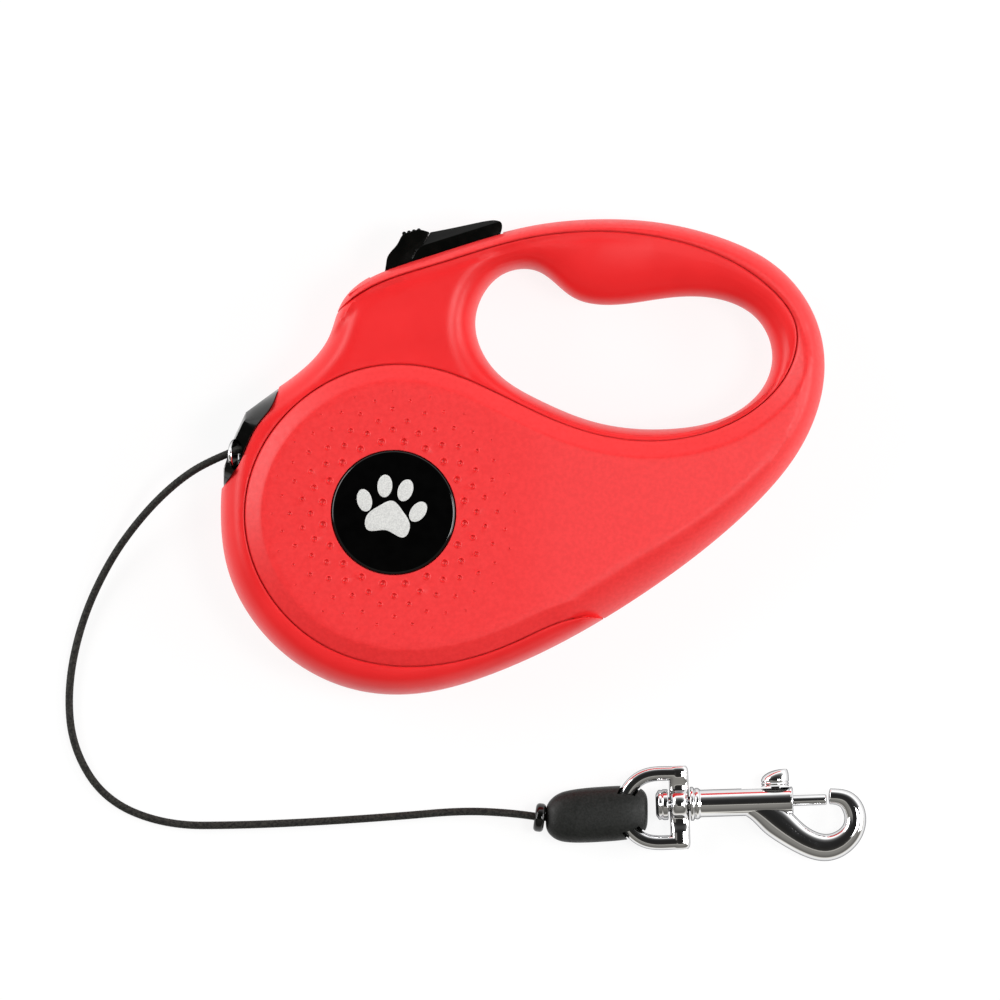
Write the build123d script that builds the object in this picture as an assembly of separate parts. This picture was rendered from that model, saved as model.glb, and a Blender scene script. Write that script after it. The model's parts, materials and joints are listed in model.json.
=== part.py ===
from build123d import *
import math
import os

# Retractable dog leash: two housing halves with a finger grip, a sprung cord reel, a brake, a free cord
# and a swivelling bolt snap. All sizes are millimetres.
#
# Frame: the origin is on the reel axis, on the flat back that the leash rests on. +X runs from the cord
# outlet to the grip, +Y from the reel to the thumb button, +Z through the thickness, towards the front.

# ---- driving dimensions: housing --------------------------------------------------------------------
THICKNESS = 32.0                        # over both covers, at the reel
MID = THICKNESS / 2                     # parting plane of the two halves
COVER_PLATE = 2.4                       # cover thickness over the reel
COVER_WALL = 2.0                        # cover skirt thickness round the edge
SHELL_HALF = MID - COVER_PLATE - 0.1    # height of one structural half above the parting plane
SHELL_FLOOR = 2.2
SHELL_WALL = 2.2
SKIRT_GAP = 0.15                        # between a cover's skirt and the shell under it
CAVITY_INSET = COVER_WALL + SKIRT_GAP + SHELL_WALL
OPENING_WALL = 2.6                      # shell wall round the finger opening
TAPER_FROM_X = 40.0                     # the grip thins from here ...
TAPER_TO_X = 120.0                      # ... to here
TAPER_DROP = 3.5                        # by this much on each side
TAPER_BLEND_RADIUS = 300.0
RIM_FILLET = 5.5
COVER_FILLET = 3.0

# ---- driving dimensions: reel -----------------------------------------------------------------------
AXLE_RADIUS = 3.0
RUNNING_GAP = 0.06                      # radial, for every shaft that turns in a bore
BONDED = 0.01                           # radial, between a pin and the bore that holds it still
HUB_RADIUS = 22.0
HUB_WALL = 2.3
FLANGE_RADIUS = 40.5
TOOTH_ROOT_RADIUS = 37.0
TOOTH_COUNT = 24
CORD_DIAMETER = 2.2
TURNS_ACROSS = 5
WINDING_RADIUS = 34.0
WINDING_WIDTH = TURNS_ACROSS * CORD_DIAMETER
WINDING_LOW = MID - WINDING_WIDTH / 2
LOWER_FLANGE = (WINDING_LOW - 2.0, WINDING_LOW - 0.1)
UPPER_FLANGE = (WINDING_LOW + WINDING_WIDTH + 0.1, WINDING_LOW + WINDING_WIDTH + 1.9)
FLOOR_Z = MID - SHELL_HALF + SHELL_FLOOR        # inner face of the back shell
CEILING_Z = MID + SHELL_HALF - SHELL_FLOOR      # inner face of the front shell
AXLE_BOSS_RADIUS = 8.0
CLIP_Z = UPPER_FLANGE[1] + 0.7
CLIP_THICKNESS = 0.75
SPRING_TURNS = 9
SPRING_STRIP = 0.5
ARBOR_RADIUS = 4.6

# ---- driving dimensions: brake ----------------------------------------------------------------------
BUTTON_PIVOT = (22.5, 69.5)
PIVOT_PIN_RADIUS = 1.5
BUTTON_WIDTH = 14.0
PAWL_X = 0.0
PAWL_TIP_Y = 41.4
PAWL_WIDTH = 4.0
PAWL_HEAD_Y = 61.6
FOOT_RADIUS = 1.9
SPRING_PLACE = (11.5, 55.5)             # foot of the button's return spring
SLOT_MARGIN = 0.4                       # round the button, where it enters the rail
LOCK_ANGLE = 21.2                       # slope of the lock slider's track

# ---- driving dimensions: cord end and snap ----------------------------------------------------------
BADGE_RADIUS = 17.4
BADGE_RISE = 0.5
BOOT_LENGTH = 28.4
BOOT_WIDTH = 15.6
BOOT_HEIGHT = 10.0
BOOT_CENTRE = (57.05, -84.7)
SNAP_Z = BOOT_HEIGHT / 2
SNAP_ORIGIN = (80.0, -81.9)             # middle of the snap ring's straight bar
SNAP_TILT = 1.8                         # degrees, of the snap's axis in plan
RING_SWING = 12.0                       # degrees that the snap ring lifts in its boot
RING_CENTRE_U, RING_CENTRE_V = -6.1, -0.95      # of the ring's round end, in the snap's own frame
RING_OUTER, RING_INNER = 11.75, 7.6
RING_HALF = 2.1
RING_AXIS_U = RING_CENTRE_U - (RING_OUTER + RING_INNER) / 2
STEM_RADIUS = 2.0
FLANGE_SEAT = 3.05                      # along the snap's axis: where its flange meets the ring
BARREL_START, BARREL_END = 5.0, 32.0
BARREL_RADIUS = 3.85
BORE_RADIUS = 2.45
BOLT_RADIUS = 1.5
BOLT_TIP = 41.4
BOLT_TRAVEL = 8.0
KNOB_U = 27.2                           # place of the thumb knob along the barrel
HOOK_HALF = 3.0

# ---- outlines in plan, counter-clockwise ------------------------------------------------------------
HOUSING_OUTLINE = [
    (120.6, 41.0), (118.2, 54.0), (107.0, 69.0), (92.0, 76.8), (74.0, 81.2), (56.0, 82.1),
    (37.1, 80.0), (16.4, 74.2), (1.1, 69.2), (-9.6, 64.2), (-14.6, 58.8), (-18.0, 49.6),
    (-25.0, 40.6), (-33.0, 34.6), (-41.2, 28.0), (-46.6, 16.7), (-48.5, 0.0), (-46.3, -16.7),
    (-38.2, -31.9), (-25.2, -43.6), (-8.8, -50.1), (8.9, -50.4), (26.5, -45.6), (44.9, -37.5),
    (67.3, -24.4), (86.5, -10.6), (101.8, 3.0), (113.8, 18.0),
]
OPENING_OUTLINE = [
    (105.9, 43.5), (101.9, 53.9), (88.0, 60.2), (74.0, 59.7), (60.0, 58.1), (50.0, 60.3),
    (40.0, 67.6), (31.0, 66.9), (24.8, 60.6), (22.8, 53.0), (28.2, 39.9), (40.5, 31.6),
    (56.0, 25.4), (77.1, 23.4), (95.7, 28.1), (103.4, 35.2),
]
# The visible joint between the overlay cover and the shell: from the left end of the top rail, round
# the back of the grip, under the opening, over and round the reel, to the lower edge.
SEAM = [
    (-17.0, 54.6), (-14.3, 57.5), (-9.5, 61.2), (1.7, 66.2), (12.9, 69.6), (32.9, 75.6),
    (50.0, 78.3), (71.6, 77.3), (92.0, 71.3), (105.5, 62.4), (112.4, 52.0), (110.5, 40.0),
    (102.1, 29.8), (85.2, 21.7), (64.8, 20.4), (46.5, 25.1), (24.1, 35.6), (9.0, 40.7),
    (-7.4, 40.5), (-25.7, 31.5), (-38.0, 15.8), (-41.6, -1.8), (-36.0, -20.9), (-18.9, -37.5),
    (5.7, -43.0), (35.3, -35.5), (48.5, -30.0), (58.8, -29.7), (65.0, -32.5),
]
SEAM_RETURN = [(65.0, -90.0), (170.0, -90.0), (170.0, 130.0), (-60.0, 130.0), (-60.0, 54.6)]
NOZZLE_OUTLINE = [
    (-32.3, 34.7), (-41.4, 28.0), (-45.4, 19.4), (-47.7, 12.4), (-47.6, 7.4), (-44.2, 11.9),
    (-41.4, 17.5), (-38.1, 24.2), (-34.1, 29.5),
]
SCREW_POSTS = [(-9.0, 50.5), (68.0, 70.0), (99.5, 62.5), (66.0, 2.0), (40.0, -28.5)]
POST_RADIUS = 3.2
SCREW_RADIUS = 1.3
SCREW_HEAD_RADIUS = 2.7
SCREW_SEAT_DEPTH = 1.9                  # of the heads' undersides, below the shell's surface

# The free cord, from the outlet to the inside of the boot.
CORD_ROUTE = [
    (-43.6, 17.6, 16.0), (-52.0, 14.4, 15.6), (-61.0, 8.6, 12.6), (-70.5, -0.6, 7.6),
    (-80.0, -13.4, 3.4), (-88.0, -30.6, 1.5), (-91.9, -49.4, 1.2), (-90.4, -66.4, 1.2),
    (-81.2, -81.0, 1.2), (-64.0, -88.0, 1.2), (-43.0, -87.9, 1.2), (-21.0, -86.9, 1.2),
    (1.0, -85.4, 1.2), (19.0, -83.8, 1.6), (33.0, -84.4, 3.8), (44.0, -86.0, 5.0),
    (53.0, -85.4, 5.0),
]


# ---- helpers ----------------------------------------------------------------------------------------
def outline(points):
    """A closed smooth outline through the points, as a face."""
    return make_face(Spline(*points, periodic=True))


def inset(points, distance, samples=90):
    """The outline moved inwards by a distance, as a face. A negative distance moves it outwards."""
    curve = Spline(*points, periodic=True)
    moved = []
    for i in range(samples):
        p, t = curve @ (i / samples), curve % (i / samples)
        moved.append((p.X - t.Y * distance, p.Y + t.X * distance))
    return make_face(Spline(*moved, periodic=True))


def taper_at(x):
    """How much thinner each half is at this x."""
    return TAPER_DROP * max(0.0, x - TAPER_FROM_X) / (TAPER_TO_X - TAPER_FROM_X)


def prism(face, low, high):
    return Pos(0, 0, low) * extrude(face, amount=high - low)


def rod(radius, low, high, x=0.0, y=0.0):
    return prism(Pos(x, y) * Circle(radius), low, high)


def sleeve(outer, inner, low, high):
    return prism(Circle(outer) - Circle(inner), low, high)


def rod_x(radius, low, high):
    """A rod along X, between two places."""
    return Pos(low, 0, 0) * Rot(0, 90, 0) * rod(radius, 0, high - low)


def in_snap(shape):
    """From the snap's own frame, with its axis along X, to the leash's frame."""
    return Pos(SNAP_ORIGIN[0], SNAP_ORIGIN[1], SNAP_Z) * Rot(0, 0, SNAP_TILT) * shape


def to_back(front_half):
    return mirror(front_half, about=Plane.XY.offset(MID))


def taper_profile(height):
    """Everything under the outer surface of a half of this height, seen along Y."""
    slope = TAPER_DROP / (TAPER_TO_X - TAPER_FROM_X)
    far = 150.0
    line = FilletPolyline(
        (-80, height), (TAPER_FROM_X, height), (far, height - slope * (far - TAPER_FROM_X)),
        radius=TAPER_BLEND_RADIUS,
    )
    rest = Polyline(line @ 1, (far, -1), (-80, -1), (-80, height))
    face = make_face(Plane.XZ * (Curve() + [line, rest]))
    return extrude(face, amount=150, both=True)


def top_edges(solid):
    """Edges of the upward faces' outlines."""
    found = []
    for face in solid.faces().filter_by(lambda f: f.normal_at().Z > 0.9):
        for edge in face.edges():
            if abs((edge % 0.5).Z) < 0.2 and not is_between_tops(edge, solid):
                found.append(edge)
    return ShapeList(found)


def is_between_tops(edge, solid):
    """True for an edge shared by two upward faces, such as the start of the taper."""
    tops = 0
    for face in solid.faces().filter_by(lambda f: f.normal_at().Z > 0.9):
        if any((e.center() - edge.center()).length < 1e-6 for e in face.edges()):
            tops += 1
    return tops > 1


# ---- housing ----------------------------------------------------------------------------------------
def cover_region():
    return make_face(Curve() + [Spline(*SEAM), Polyline(SEAM[-1], *SEAM_RETURN, SEAM[0])])


def button_slot():
    """Where the button and the lock slider sink into the top rail."""
    plan = Polyline(
        (-6.8, 58), (-6.8, 90), (30.6, 90), (30.6, 71.2), (28.6, 67.6), (20, 66.2), (12, 60),
        close=True,
    )
    half = BUTTON_WIDTH / 2 + SLOT_MARGIN
    return prism(make_face(plan), MID - half, MID + half)


def half_shell():
    """One structural half, from the parting plane up, before its bosses."""
    body = extrude(outline(HOUSING_OUTLINE) - outline(OPENING_OUTLINE), amount=SHELL_HALF + 5)
    body = body & taper_profile(SHELL_HALF)
    body = fillet(top_edges(body), RIM_FILLET)
    inside_skirt = prism(inset(HOUSING_OUTLINE, COVER_WALL + SKIRT_GAP), -2, 41)
    under_cover = prism(cover_region(), -1, 40) - inside_skirt
    cavity = inset(HOUSING_OUTLINE, CAVITY_INSET) - inset(OPENING_OUTLINE, -OPENING_WALL)
    under_floor = Pos(0, 0, -0.5) * taper_profile(SHELL_HALF - SHELL_FLOOR + 0.5)
    hollow = prism(cavity, -1, SHELL_HALF) & under_floor
    return body - under_cover - hollow


def half_cover():
    """One overlay cover: a plate over the reel and grip, with a skirt down to the parting plane."""
    body = extrude(outline(HOUSING_OUTLINE), amount=MID + 5) & taper_profile(MID)
    body = fillet(top_edges(body), COVER_FILLET)
    body = body & prism(cover_region(), -1, 40)
    inner = prism(inset(HOUSING_OUTLINE, COVER_WALL), -1, MID) & (
        Pos(0, 0, -0.5) * taper_profile(MID - COVER_PLATE + 0.5))
    return body - inner


def post(x, y, low, high, hole):
    return rod(POST_RADIUS, low, high, x, y) - rod(hole, low - 1, high + 1, x, y)


def make_shells():
    """The two halves, with screw posts, axle and pin bosses, the brake's guides and the outlet pocket."""
    front = Pos(0, 0, MID) * half_shell()
    back = to_back(front)
    pocket = prism(outline_nozzle(0.12), MID - 12, MID + 12)
    boss_roof, boss_floor = CEILING_Z + 1, FLOOR_Z - 1
    for x, y in SCREW_POSTS:
        drop = taper_at(x)
        front += rod(POST_RADIUS, MID + 0.05, boss_roof - drop, x, y)
        front -= rod(SCREW_RADIUS - 0.2, MID - 1, CEILING_Z - 1 - drop, x, y)
        back += rod(POST_RADIUS, boss_floor + drop, MID - 0.05, x, y)
        back -= rod(SCREW_RADIUS + 0.15, -1, MID + 1, x, y)
        back -= rod(SCREW_HEAD_RADIUS + 0.2, -1, screw_seat(x), x, y)
    # The axle stands in the back boss, and its far end is held in the front one.
    back += rod(AXLE_BOSS_RADIUS, boss_floor, FLOOR_Z + 1.2)
    back -= rod(AXLE_RADIUS + BONDED, MID - SHELL_HALF + 0.8, MID)
    front += rod(6, CEILING_Z - 1.4, boss_roof)
    front -= rod(AXLE_RADIUS + BONDED, MID, CEILING_Z + 0.8)
    px, py = BUTTON_PIVOT
    for low, high in ((boss_floor, MID - 7.6), (MID + 7.6, boss_roof)):
        boss = rod(3.3, low, high, px, py)
        if low < MID:
            back = back + boss - rod(PIVOT_PIN_RADIUS + BONDED, FLOOR_Z - 0.8, MID, px, py)
        else:
            front = front + boss - rod(PIVOT_PIN_RADIUS + BONDED, MID, CEILING_Z + 0.8, px, py)
    # Two ribs guide the pawl, and a shelf carries the button's return spring.
    rib_width, rib_top, shelf_top = 1.6, 12.0, 19.0
    rib_x = PAWL_WIDTH / 2 + 0.25 + rib_width / 2
    rib = Box(rib_width, 13, rib_top - boss_floor)
    for side in (-1, 1):
        back += Pos(PAWL_X + side * rib_x, 52.0, (boss_floor + rib_top) / 2) * rib
    shelf = Box(8, 1.8, shelf_top - boss_floor)
    back += Pos(SPRING_PLACE[0], SPRING_PLACE[1] - 1.3, (boss_floor + shelf_top) / 2) * shelf
    outlet = along_outlet(rod(4.55, -0.2, 20) + rod(1.7, -20, 20), 0) + pocket + button_slot()
    # The nozzle forms the edge there, so the chip left outside it goes.
    return largest(back - outlet), largest(front - outlet)


def screw_seat(x):
    """Height of the underside of a screw's head."""
    return MID - SHELL_HALF + SCREW_SEAT_DEPTH + taper_at(x)


def largest(shape):
    return shape.solids().sort_by(SortBy.VOLUME)[-1]


def make_covers():
    front = Pos(0, 0, MID) * half_cover()
    slot = button_slot()
    front_badge_recess = rod(BADGE_RADIUS + 0.15, THICKNESS - 1.1, THICKNESS + 1)
    back = to_back(front) - rod(BADGE_RADIUS + 0.15, -1, 1.1)
    for x, y in SCREW_POSTS:
        back -= rod(SCREW_HEAD_RADIUS + 0.25, -1, 9, x, y)
    return back - slot, front - slot - front_badge_recess


def make_screws():
    screws = []
    for x, y in SCREW_POSTS:
        seat = screw_seat(x)
        head = rod(SCREW_HEAD_RADIUS, seat - 1.7, seat, x, y)
        recess = Pos(x, y, seat - 1.7) * (Box(3.4, 0.8, 1.6) + Box(0.8, 3.4, 1.6))
        shank = rod(SCREW_RADIUS - 0.21, seat, CEILING_Z - 2 - taper_at(x), x, y)
        screws.append(head - recess + shank)
    return Compound(screws)


def make_badge(front):
    """A round cap: domed on the front, flat and flush on the back."""
    if not front:
        return rod(BADGE_RADIUS, 0, 1.0)
    top, rim = THICKNESS + BADGE_RISE, THICKNESS - 0.35
    dome = (BADGE_RADIUS**2 + (top - rim) ** 2) / (2 * (top - rim))
    return rod(BADGE_RADIUS, THICKNESS - 1.0, top + 1) & Pos(0, 0, top - dome) * Sphere(dome)


# ---- reel -------------------------------------------------------------------------------------------
def make_axle():
    low, high = MID - SHELL_HALF + 0.9, CEILING_Z + 0.7
    axle = rod(AXLE_RADIUS, low, high)
    groove = sleeve(AXLE_RADIUS + 1, AXLE_RADIUS - 0.6, CLIP_Z, CLIP_Z + CLIP_THICKNESS + 0.15)
    return axle - groove


def make_axle_clip():
    """An open retaining ring in the axle's groove."""
    ring = sleeve(5.4, AXLE_RADIUS - 0.55, CLIP_Z + 0.05, CLIP_Z + 0.05 + CLIP_THICKNESS)
    return ring - Pos(4, 0, CLIP_Z) * Box(8, 3.2, 4)


def make_washers():
    lower = sleeve(7, AXLE_RADIUS + RUNNING_GAP, FLOOR_Z + 1.25, FLOOR_Z + 1.95)
    upper = sleeve(6.4, AXLE_RADIUS + RUNNING_GAP, UPPER_FLANGE[1] + 0.05, CLIP_Z - 0.05)
    return Compound([lower, upper])


def tooth_gap(angle):
    """One notch between two ratchet teeth, in plan."""
    root, rim = TOOTH_ROOT_RADIUS, FLANGE_RADIUS + 2
    notch = Polyline((root, -3.1), (rim, -4.4), (rim, 3.4), (root, 2.9), close=True)
    return Rot(0, 0, angle) * make_face(notch)


def make_drum():
    """Hub, ratchet flange and lower bearing in one moulding."""
    first = math.degrees(math.atan2(PAWL_TIP_Y, PAWL_X))
    flange = Circle(FLANGE_RADIUS) - Circle(AXLE_RADIUS + RUNNING_GAP)
    for i in range(TOOTH_COUNT):
        flange -= tooth_gap(first + 360 * i / TOOTH_COUNT)
    drum = prism(flange, *LOWER_FLANGE)
    drum += sleeve(HUB_RADIUS, HUB_RADIUS - HUB_WALL, LOWER_FLANGE[0], UPPER_FLANGE[0] - 0.05)
    drum += sleeve(6.4, AXLE_RADIUS + RUNNING_GAP, FLOOR_Z + 2.0, LOWER_FLANGE[0])
    # The slot that the spring's outer end hooks into.
    return drum - Pos(HUB_RADIUS - HUB_WALL, 0, MID) * Box(2.2, 1.0, 9)


def make_drum_flange():
    flange = Circle(FLANGE_RADIUS) - Circle(HUB_RADIUS - HUB_WALL)
    for i in range(6):
        flange -= Rot(0, 0, 60 * i + 30) * Pos(30, 0) * SlotCenterToCenter(7, 4, rotation=90)
    return prism(flange, *UPPER_FLANGE)


def make_spring_cover():
    return sleeve(HUB_RADIUS - HUB_WALL - 0.05, AXLE_RADIUS + RUNNING_GAP, UPPER_FLANGE[0], UPPER_FLANGE[1])


def make_arbor():
    arbor = sleeve(ARBOR_RADIUS, AXLE_RADIUS + BONDED, LOWER_FLANGE[1] + 0.4, UPPER_FLANGE[0] - 0.3)
    return arbor - Pos(ARBOR_RADIUS, 0, MID) * Box(1.2, 0.8, THICKNESS)


def make_power_spring():
    """A flat spiral strip that stands clear of the arbor and hooks into the hub."""
    inner, outer = ARBOR_RADIUS + 0.8, HUB_RADIUS - HUB_WALL - SPRING_STRIP - 0.25
    steps = SPRING_TURNS * 12

    def edge(offset):
        points = []
        for i in range(steps + 1):
            angle = 2 * math.pi * SPRING_TURNS * i / steps
            r = inner + (outer - inner) * i / steps + offset
            points.append((r * math.cos(angle), r * math.sin(angle)))
        return points

    near, far = edge(0), edge(SPRING_STRIP)
    ends = [Line(near[0], far[0]), Line(near[-1], far[-1])]
    strip = make_face(Curve() + [Spline(*near), Spline(*far), *ends])
    return prism(strip, WINDING_LOW + 0.8, WINDING_LOW + WINDING_WIDTH - 0.8)


def make_winding():
    """The wound cord: a ring whose outside shows its turns, side by side."""
    r, low = CORD_DIAMETER / 2, WINDING_LOW
    waist = WINDING_RADIUS - r
    arcs = []
    for i in range(TURNS_ACROSS):
        z = low + i * CORD_DIAMETER
        arcs.append(ThreePointArc((waist, z), (WINDING_RADIUS, z + r), (waist, z + CORD_DIAMETER)))
    high = low + WINDING_WIDTH
    rest = Polyline((waist, high), (HUB_RADIUS + 0.1, high), (HUB_RADIUS + 0.1, low), (waist, low))
    return revolve(make_face(Plane.XZ * (Curve() + [*arcs, rest])), Axis.Z)


# ---- brake ------------------------------------------------------------------------------------------
def make_button():
    """Thumb wing, arm and rounded foot, in one moulding that turns on the pivot pin."""
    px, py = BUTTON_PIVOT
    plan = make_face(Polyline(
        (-1.7, 63.4), (1.4, 62.5), (19.6, 66.4), (25.2, 67.4), (28.4, 73.6), (29.6, 78.7), (30.2, 80.4),
        (29.6, 81.6), (28.2, 82.2), (25.6, 81.9), (20.4, 80.7), (15.7, 79.5), (10.6, 78.5), (9.3, 75.6),
        (7.3, 73.9), (5.7, 70.7), (5.3, 69.9), (-1.9, 67.1), close=True,
    ))
    plan = plan + Pos(px, py) * Circle(3.4) + Pos(PAWL_X, 63.6) * Circle(FOOT_RADIUS)
    plan -= Pos(px, py) * Circle(PIVOT_PIN_RADIUS + RUNNING_GAP)
    half = BUTTON_WIDTH / 2
    return prism(plan, MID - half, MID + half)


def make_lock_slider():
    """The ribbed nose that slides forwards over the rail's lip and holds the brake on."""
    plan = make_face(Polyline(
        (-2.5, 67.25), (-1.9, 71.4), (-0.9, 72.9), (1.0, 74.9), (2.2, 77.9), (6.9, 79.2), (9.8, 78.1),
        (8.8, 75.8), (6.8, 74.2), (5.1, 70.9), (4.6, 70.0), close=True,
    ))
    for i in range(4):
        plan += Pos(2.9 + 1.37 * i, 78.1 + 0.3 * i) * Circle(0.62)
    half = BUTTON_WIDTH / 2 - 0.4
    return prism(plan, MID - half, MID + half)


def make_pawl():
    """A bar that drops into the ratchet flange, with a head under the button's foot."""
    half, taper = PAWL_WIDTH / 2, 0.6
    bar = Polyline(
        (-half + taper, PAWL_TIP_Y), (half - taper, PAWL_TIP_Y), (half, PAWL_TIP_Y + 2),
        (half, PAWL_HEAD_Y), (-half, PAWL_HEAD_Y), (-half, PAWL_TIP_Y + 2), close=True,
    )
    low, high = FLOOR_Z + 2.4, 21.0
    pawl = prism(Pos(PAWL_X, 0) * make_face(bar), low, WINDING_LOW + 0.6)
    head = Pos(PAWL_X, PAWL_HEAD_Y - 1.0, (low + high) / 2) * Box(PAWL_WIDTH, 2.0, high - low)
    return pawl + head


def make_pivot_pin():
    return rod(PIVOT_PIN_RADIUS, FLOOR_Z - 0.7, CEILING_Z + 0.7, *BUTTON_PIVOT)


def coil_spring(radius, wire, length, turns):
    """A compression spring along +Z, from its own origin."""
    path = Helix(pitch=length / turns, height=length, radius=radius)
    section = Plane(path @ 0, z_dir=path % 0) * Circle(wire / 2)
    return sweep(section, path=path, is_frenet=True)


def make_brake_spring():
    spring = coil_spring(2.0, 0.6, 8.4, 6)
    return Pos(*SPRING_PLACE, MID - 1) * Rot(-90, 0, 0) * spring


# ---- cord outlet and free cord ----------------------------------------------------------------------
def outline_nozzle(grow=0.0):
    plan = make_face(Polyline(*NOZZLE_OUTLINE, close=True))
    return offset(plan, amount=grow, kind=Kind.INTERSECTION) if grow else plan


def outlet_direction():
    a, b = Vector(*CORD_ROUTE[0]), Vector(*CORD_ROUTE[1])
    return (b - a).normalized()


def along_outlet(shape, distance):
    """Turns a shape built along +Z so that it lies along the cord where it leaves the housing."""
    place = Vector(*CORD_ROUTE[0]) + outlet_direction() * distance
    return Plane(place, z_dir=outlet_direction()) * shape


def make_nozzle():
    block = prism(outline_nozzle(), MID - 11.5, MID + 11.5)
    block = chamfer(block.faces().sort_by(Axis.Z)[-1].edges(), 1.2)
    block = chamfer(block.faces().sort_by(Axis.Z)[0].edges(), 1.2)
    bore = along_outlet(rod(1.5, -15, 20), 0)
    seat = along_outlet(rod(4.45, -0.2, 20), 0)
    inward = Plane(Vector(*CORD_ROUTE[0]), z_dir=Vector(*inner_run_start()) - Vector(*CORD_ROUTE[0]))
    return block - bore - seat - inward * rod(1.5, -0.5, 15)


def make_eyelet():
    """A polished ring that the cord runs over, bell-mouthed on its outside."""
    ring = sleeve(4.35, 1.35, -0.1, 2.2)
    mouth = ring.edges().filter_by(GeomType.CIRCLE).sort_by(Axis.Z)[-2:]
    return along_outlet(fillet(mouth, 0.9), 0)


def cord_radii(points):
    """Each corner's arc: 0.45 of the shorter run, divided by the tangent of half the turn."""
    radii = []
    for a, b, c in zip(points, points[1:], points[2:]):
        before, after = Vector(*b) - Vector(*a), Vector(*c) - Vector(*b)
        turn = math.radians(before.get_angle(after))
        radii.append(0.45 * min(before.length, after.length) / math.tan(turn / 2))
    return radii


def tube(points, radii):
    path = FilletPolyline(*points, radius=radii) if radii else Line(*points)
    return sweep(Plane(path @ 0, z_dir=path % 0) * Circle(CORD_DIAMETER / 2), path=path), path.length


def inner_run_start():
    """Where the cord leaves the winding, on a tangent that passes through the outlet."""
    end = Vector(*CORD_ROUTE[0])
    clear = WINDING_RADIUS + CORD_DIAMETER / 2 + 0.35
    angle = math.atan2(end.Y, end.X) - math.acos(clear / math.hypot(end.X, end.Y))
    return clear * math.cos(angle), clear * math.sin(angle), MID


def make_inner_run():
    """The cord's straight run inside the housing, from the winding to the outlet."""
    return tube([inner_run_start(), CORD_ROUTE[0]], None)[0]


def make_bead():
    (x0, y0, z0), (x1, y1, z1) = CORD_ROUTE[-3], CORD_ROUTE[-2]
    direction = Vector(x1 - x0, y1 - y0, 0).normalized()
    bead = sleeve(4.05, CORD_DIAMETER / 2 + 0.15, -1.45, 1.45)
    bead = fillet(bead.edges().filter_by(GeomType.CIRCLE).sort_by(SortBy.RADIUS)[-2:], 1.1)
    return Plane(Vector(40.85, -85.65, SNAP_Z - 0.15), z_dir=direction) * bead


# ---- boot and snap ----------------------------------------------------------------------------------
def d_shape(radius, right, corner):
    """Half circle on the left, straight bar on the right."""
    u, v = RING_CENTRE_U, RING_CENTRE_V
    left = ThreePointArc((u, v + radius), (u - radius, v), (u, v - radius))
    box = Polyline((u, v - radius), (right, v - radius), (right, v + radius), (u, v + radius))
    face = make_face(Curve() + [left, box])
    return fillet(face.vertices().sort_by(Axis.X)[-2:], corner)


def make_ring():
    ring = prism(d_shape(RING_OUTER, 2.9, 3.6) - d_shape(RING_INNER, -3.0, 1.6), -RING_HALF, RING_HALF)
    ring = chamfer(ring.faces().sort_by(Axis.Z)[-1].edges() + ring.faces().sort_by(Axis.Z)[0].edges(), 1.0)
    ring += rod_x(3.9, -3.0, 2.9)
    return in_snap(ring - rod_x(STEM_RADIUS + RUNNING_GAP, -6, 6))


def make_boot():
    """Soft rubber, moulded round the cord's knot, with a slot that the snap ring swings in."""
    body = Box(BOOT_LENGTH, BOOT_WIDTH, BOOT_HEIGHT)
    body = fillet(body.edges().filter_by(Axis.Z), 5.0)
    body = fillet(body.edges().filter_by(lambda e: abs(abs(e.center().Z) - BOOT_HEIGHT / 2) < 0.01), 3.2)
    body = Pos(BOOT_CENTRE[0], BOOT_CENTRE[1], SNAP_Z) * Rot(0, 0, SNAP_TILT) * body
    clear = 0.35
    band = d_shape(RING_OUTER + clear, 12, 1.0) - d_shape(RING_INNER - clear, 30, 1.0)
    near, far = RING_AXIS_U, RING_AXIS_U + 20
    rise = (far - near) * math.tan(math.radians(RING_SWING))
    sweep_profile = Polyline(
        (near - 6, -RING_HALF - 2.6 * clear), (far, -RING_HALF - clear), (far, RING_HALF + clear + rise),
        (near, RING_HALF + 1.6 * clear), (near - 6, RING_HALF + clear), close=True,
    )
    swept = extrude(make_face(Plane.XZ * sweep_profile), amount=20, both=True)
    slot = in_snap(prism(band, -9, 9) & swept)
    knot = Pos(52.5, -85.4, SNAP_Z) * Rot(0, 90, 0) * rod(CORD_DIAMETER / 2 + 0.15, -20, 1.2)
    return body - slot - knot


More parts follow.
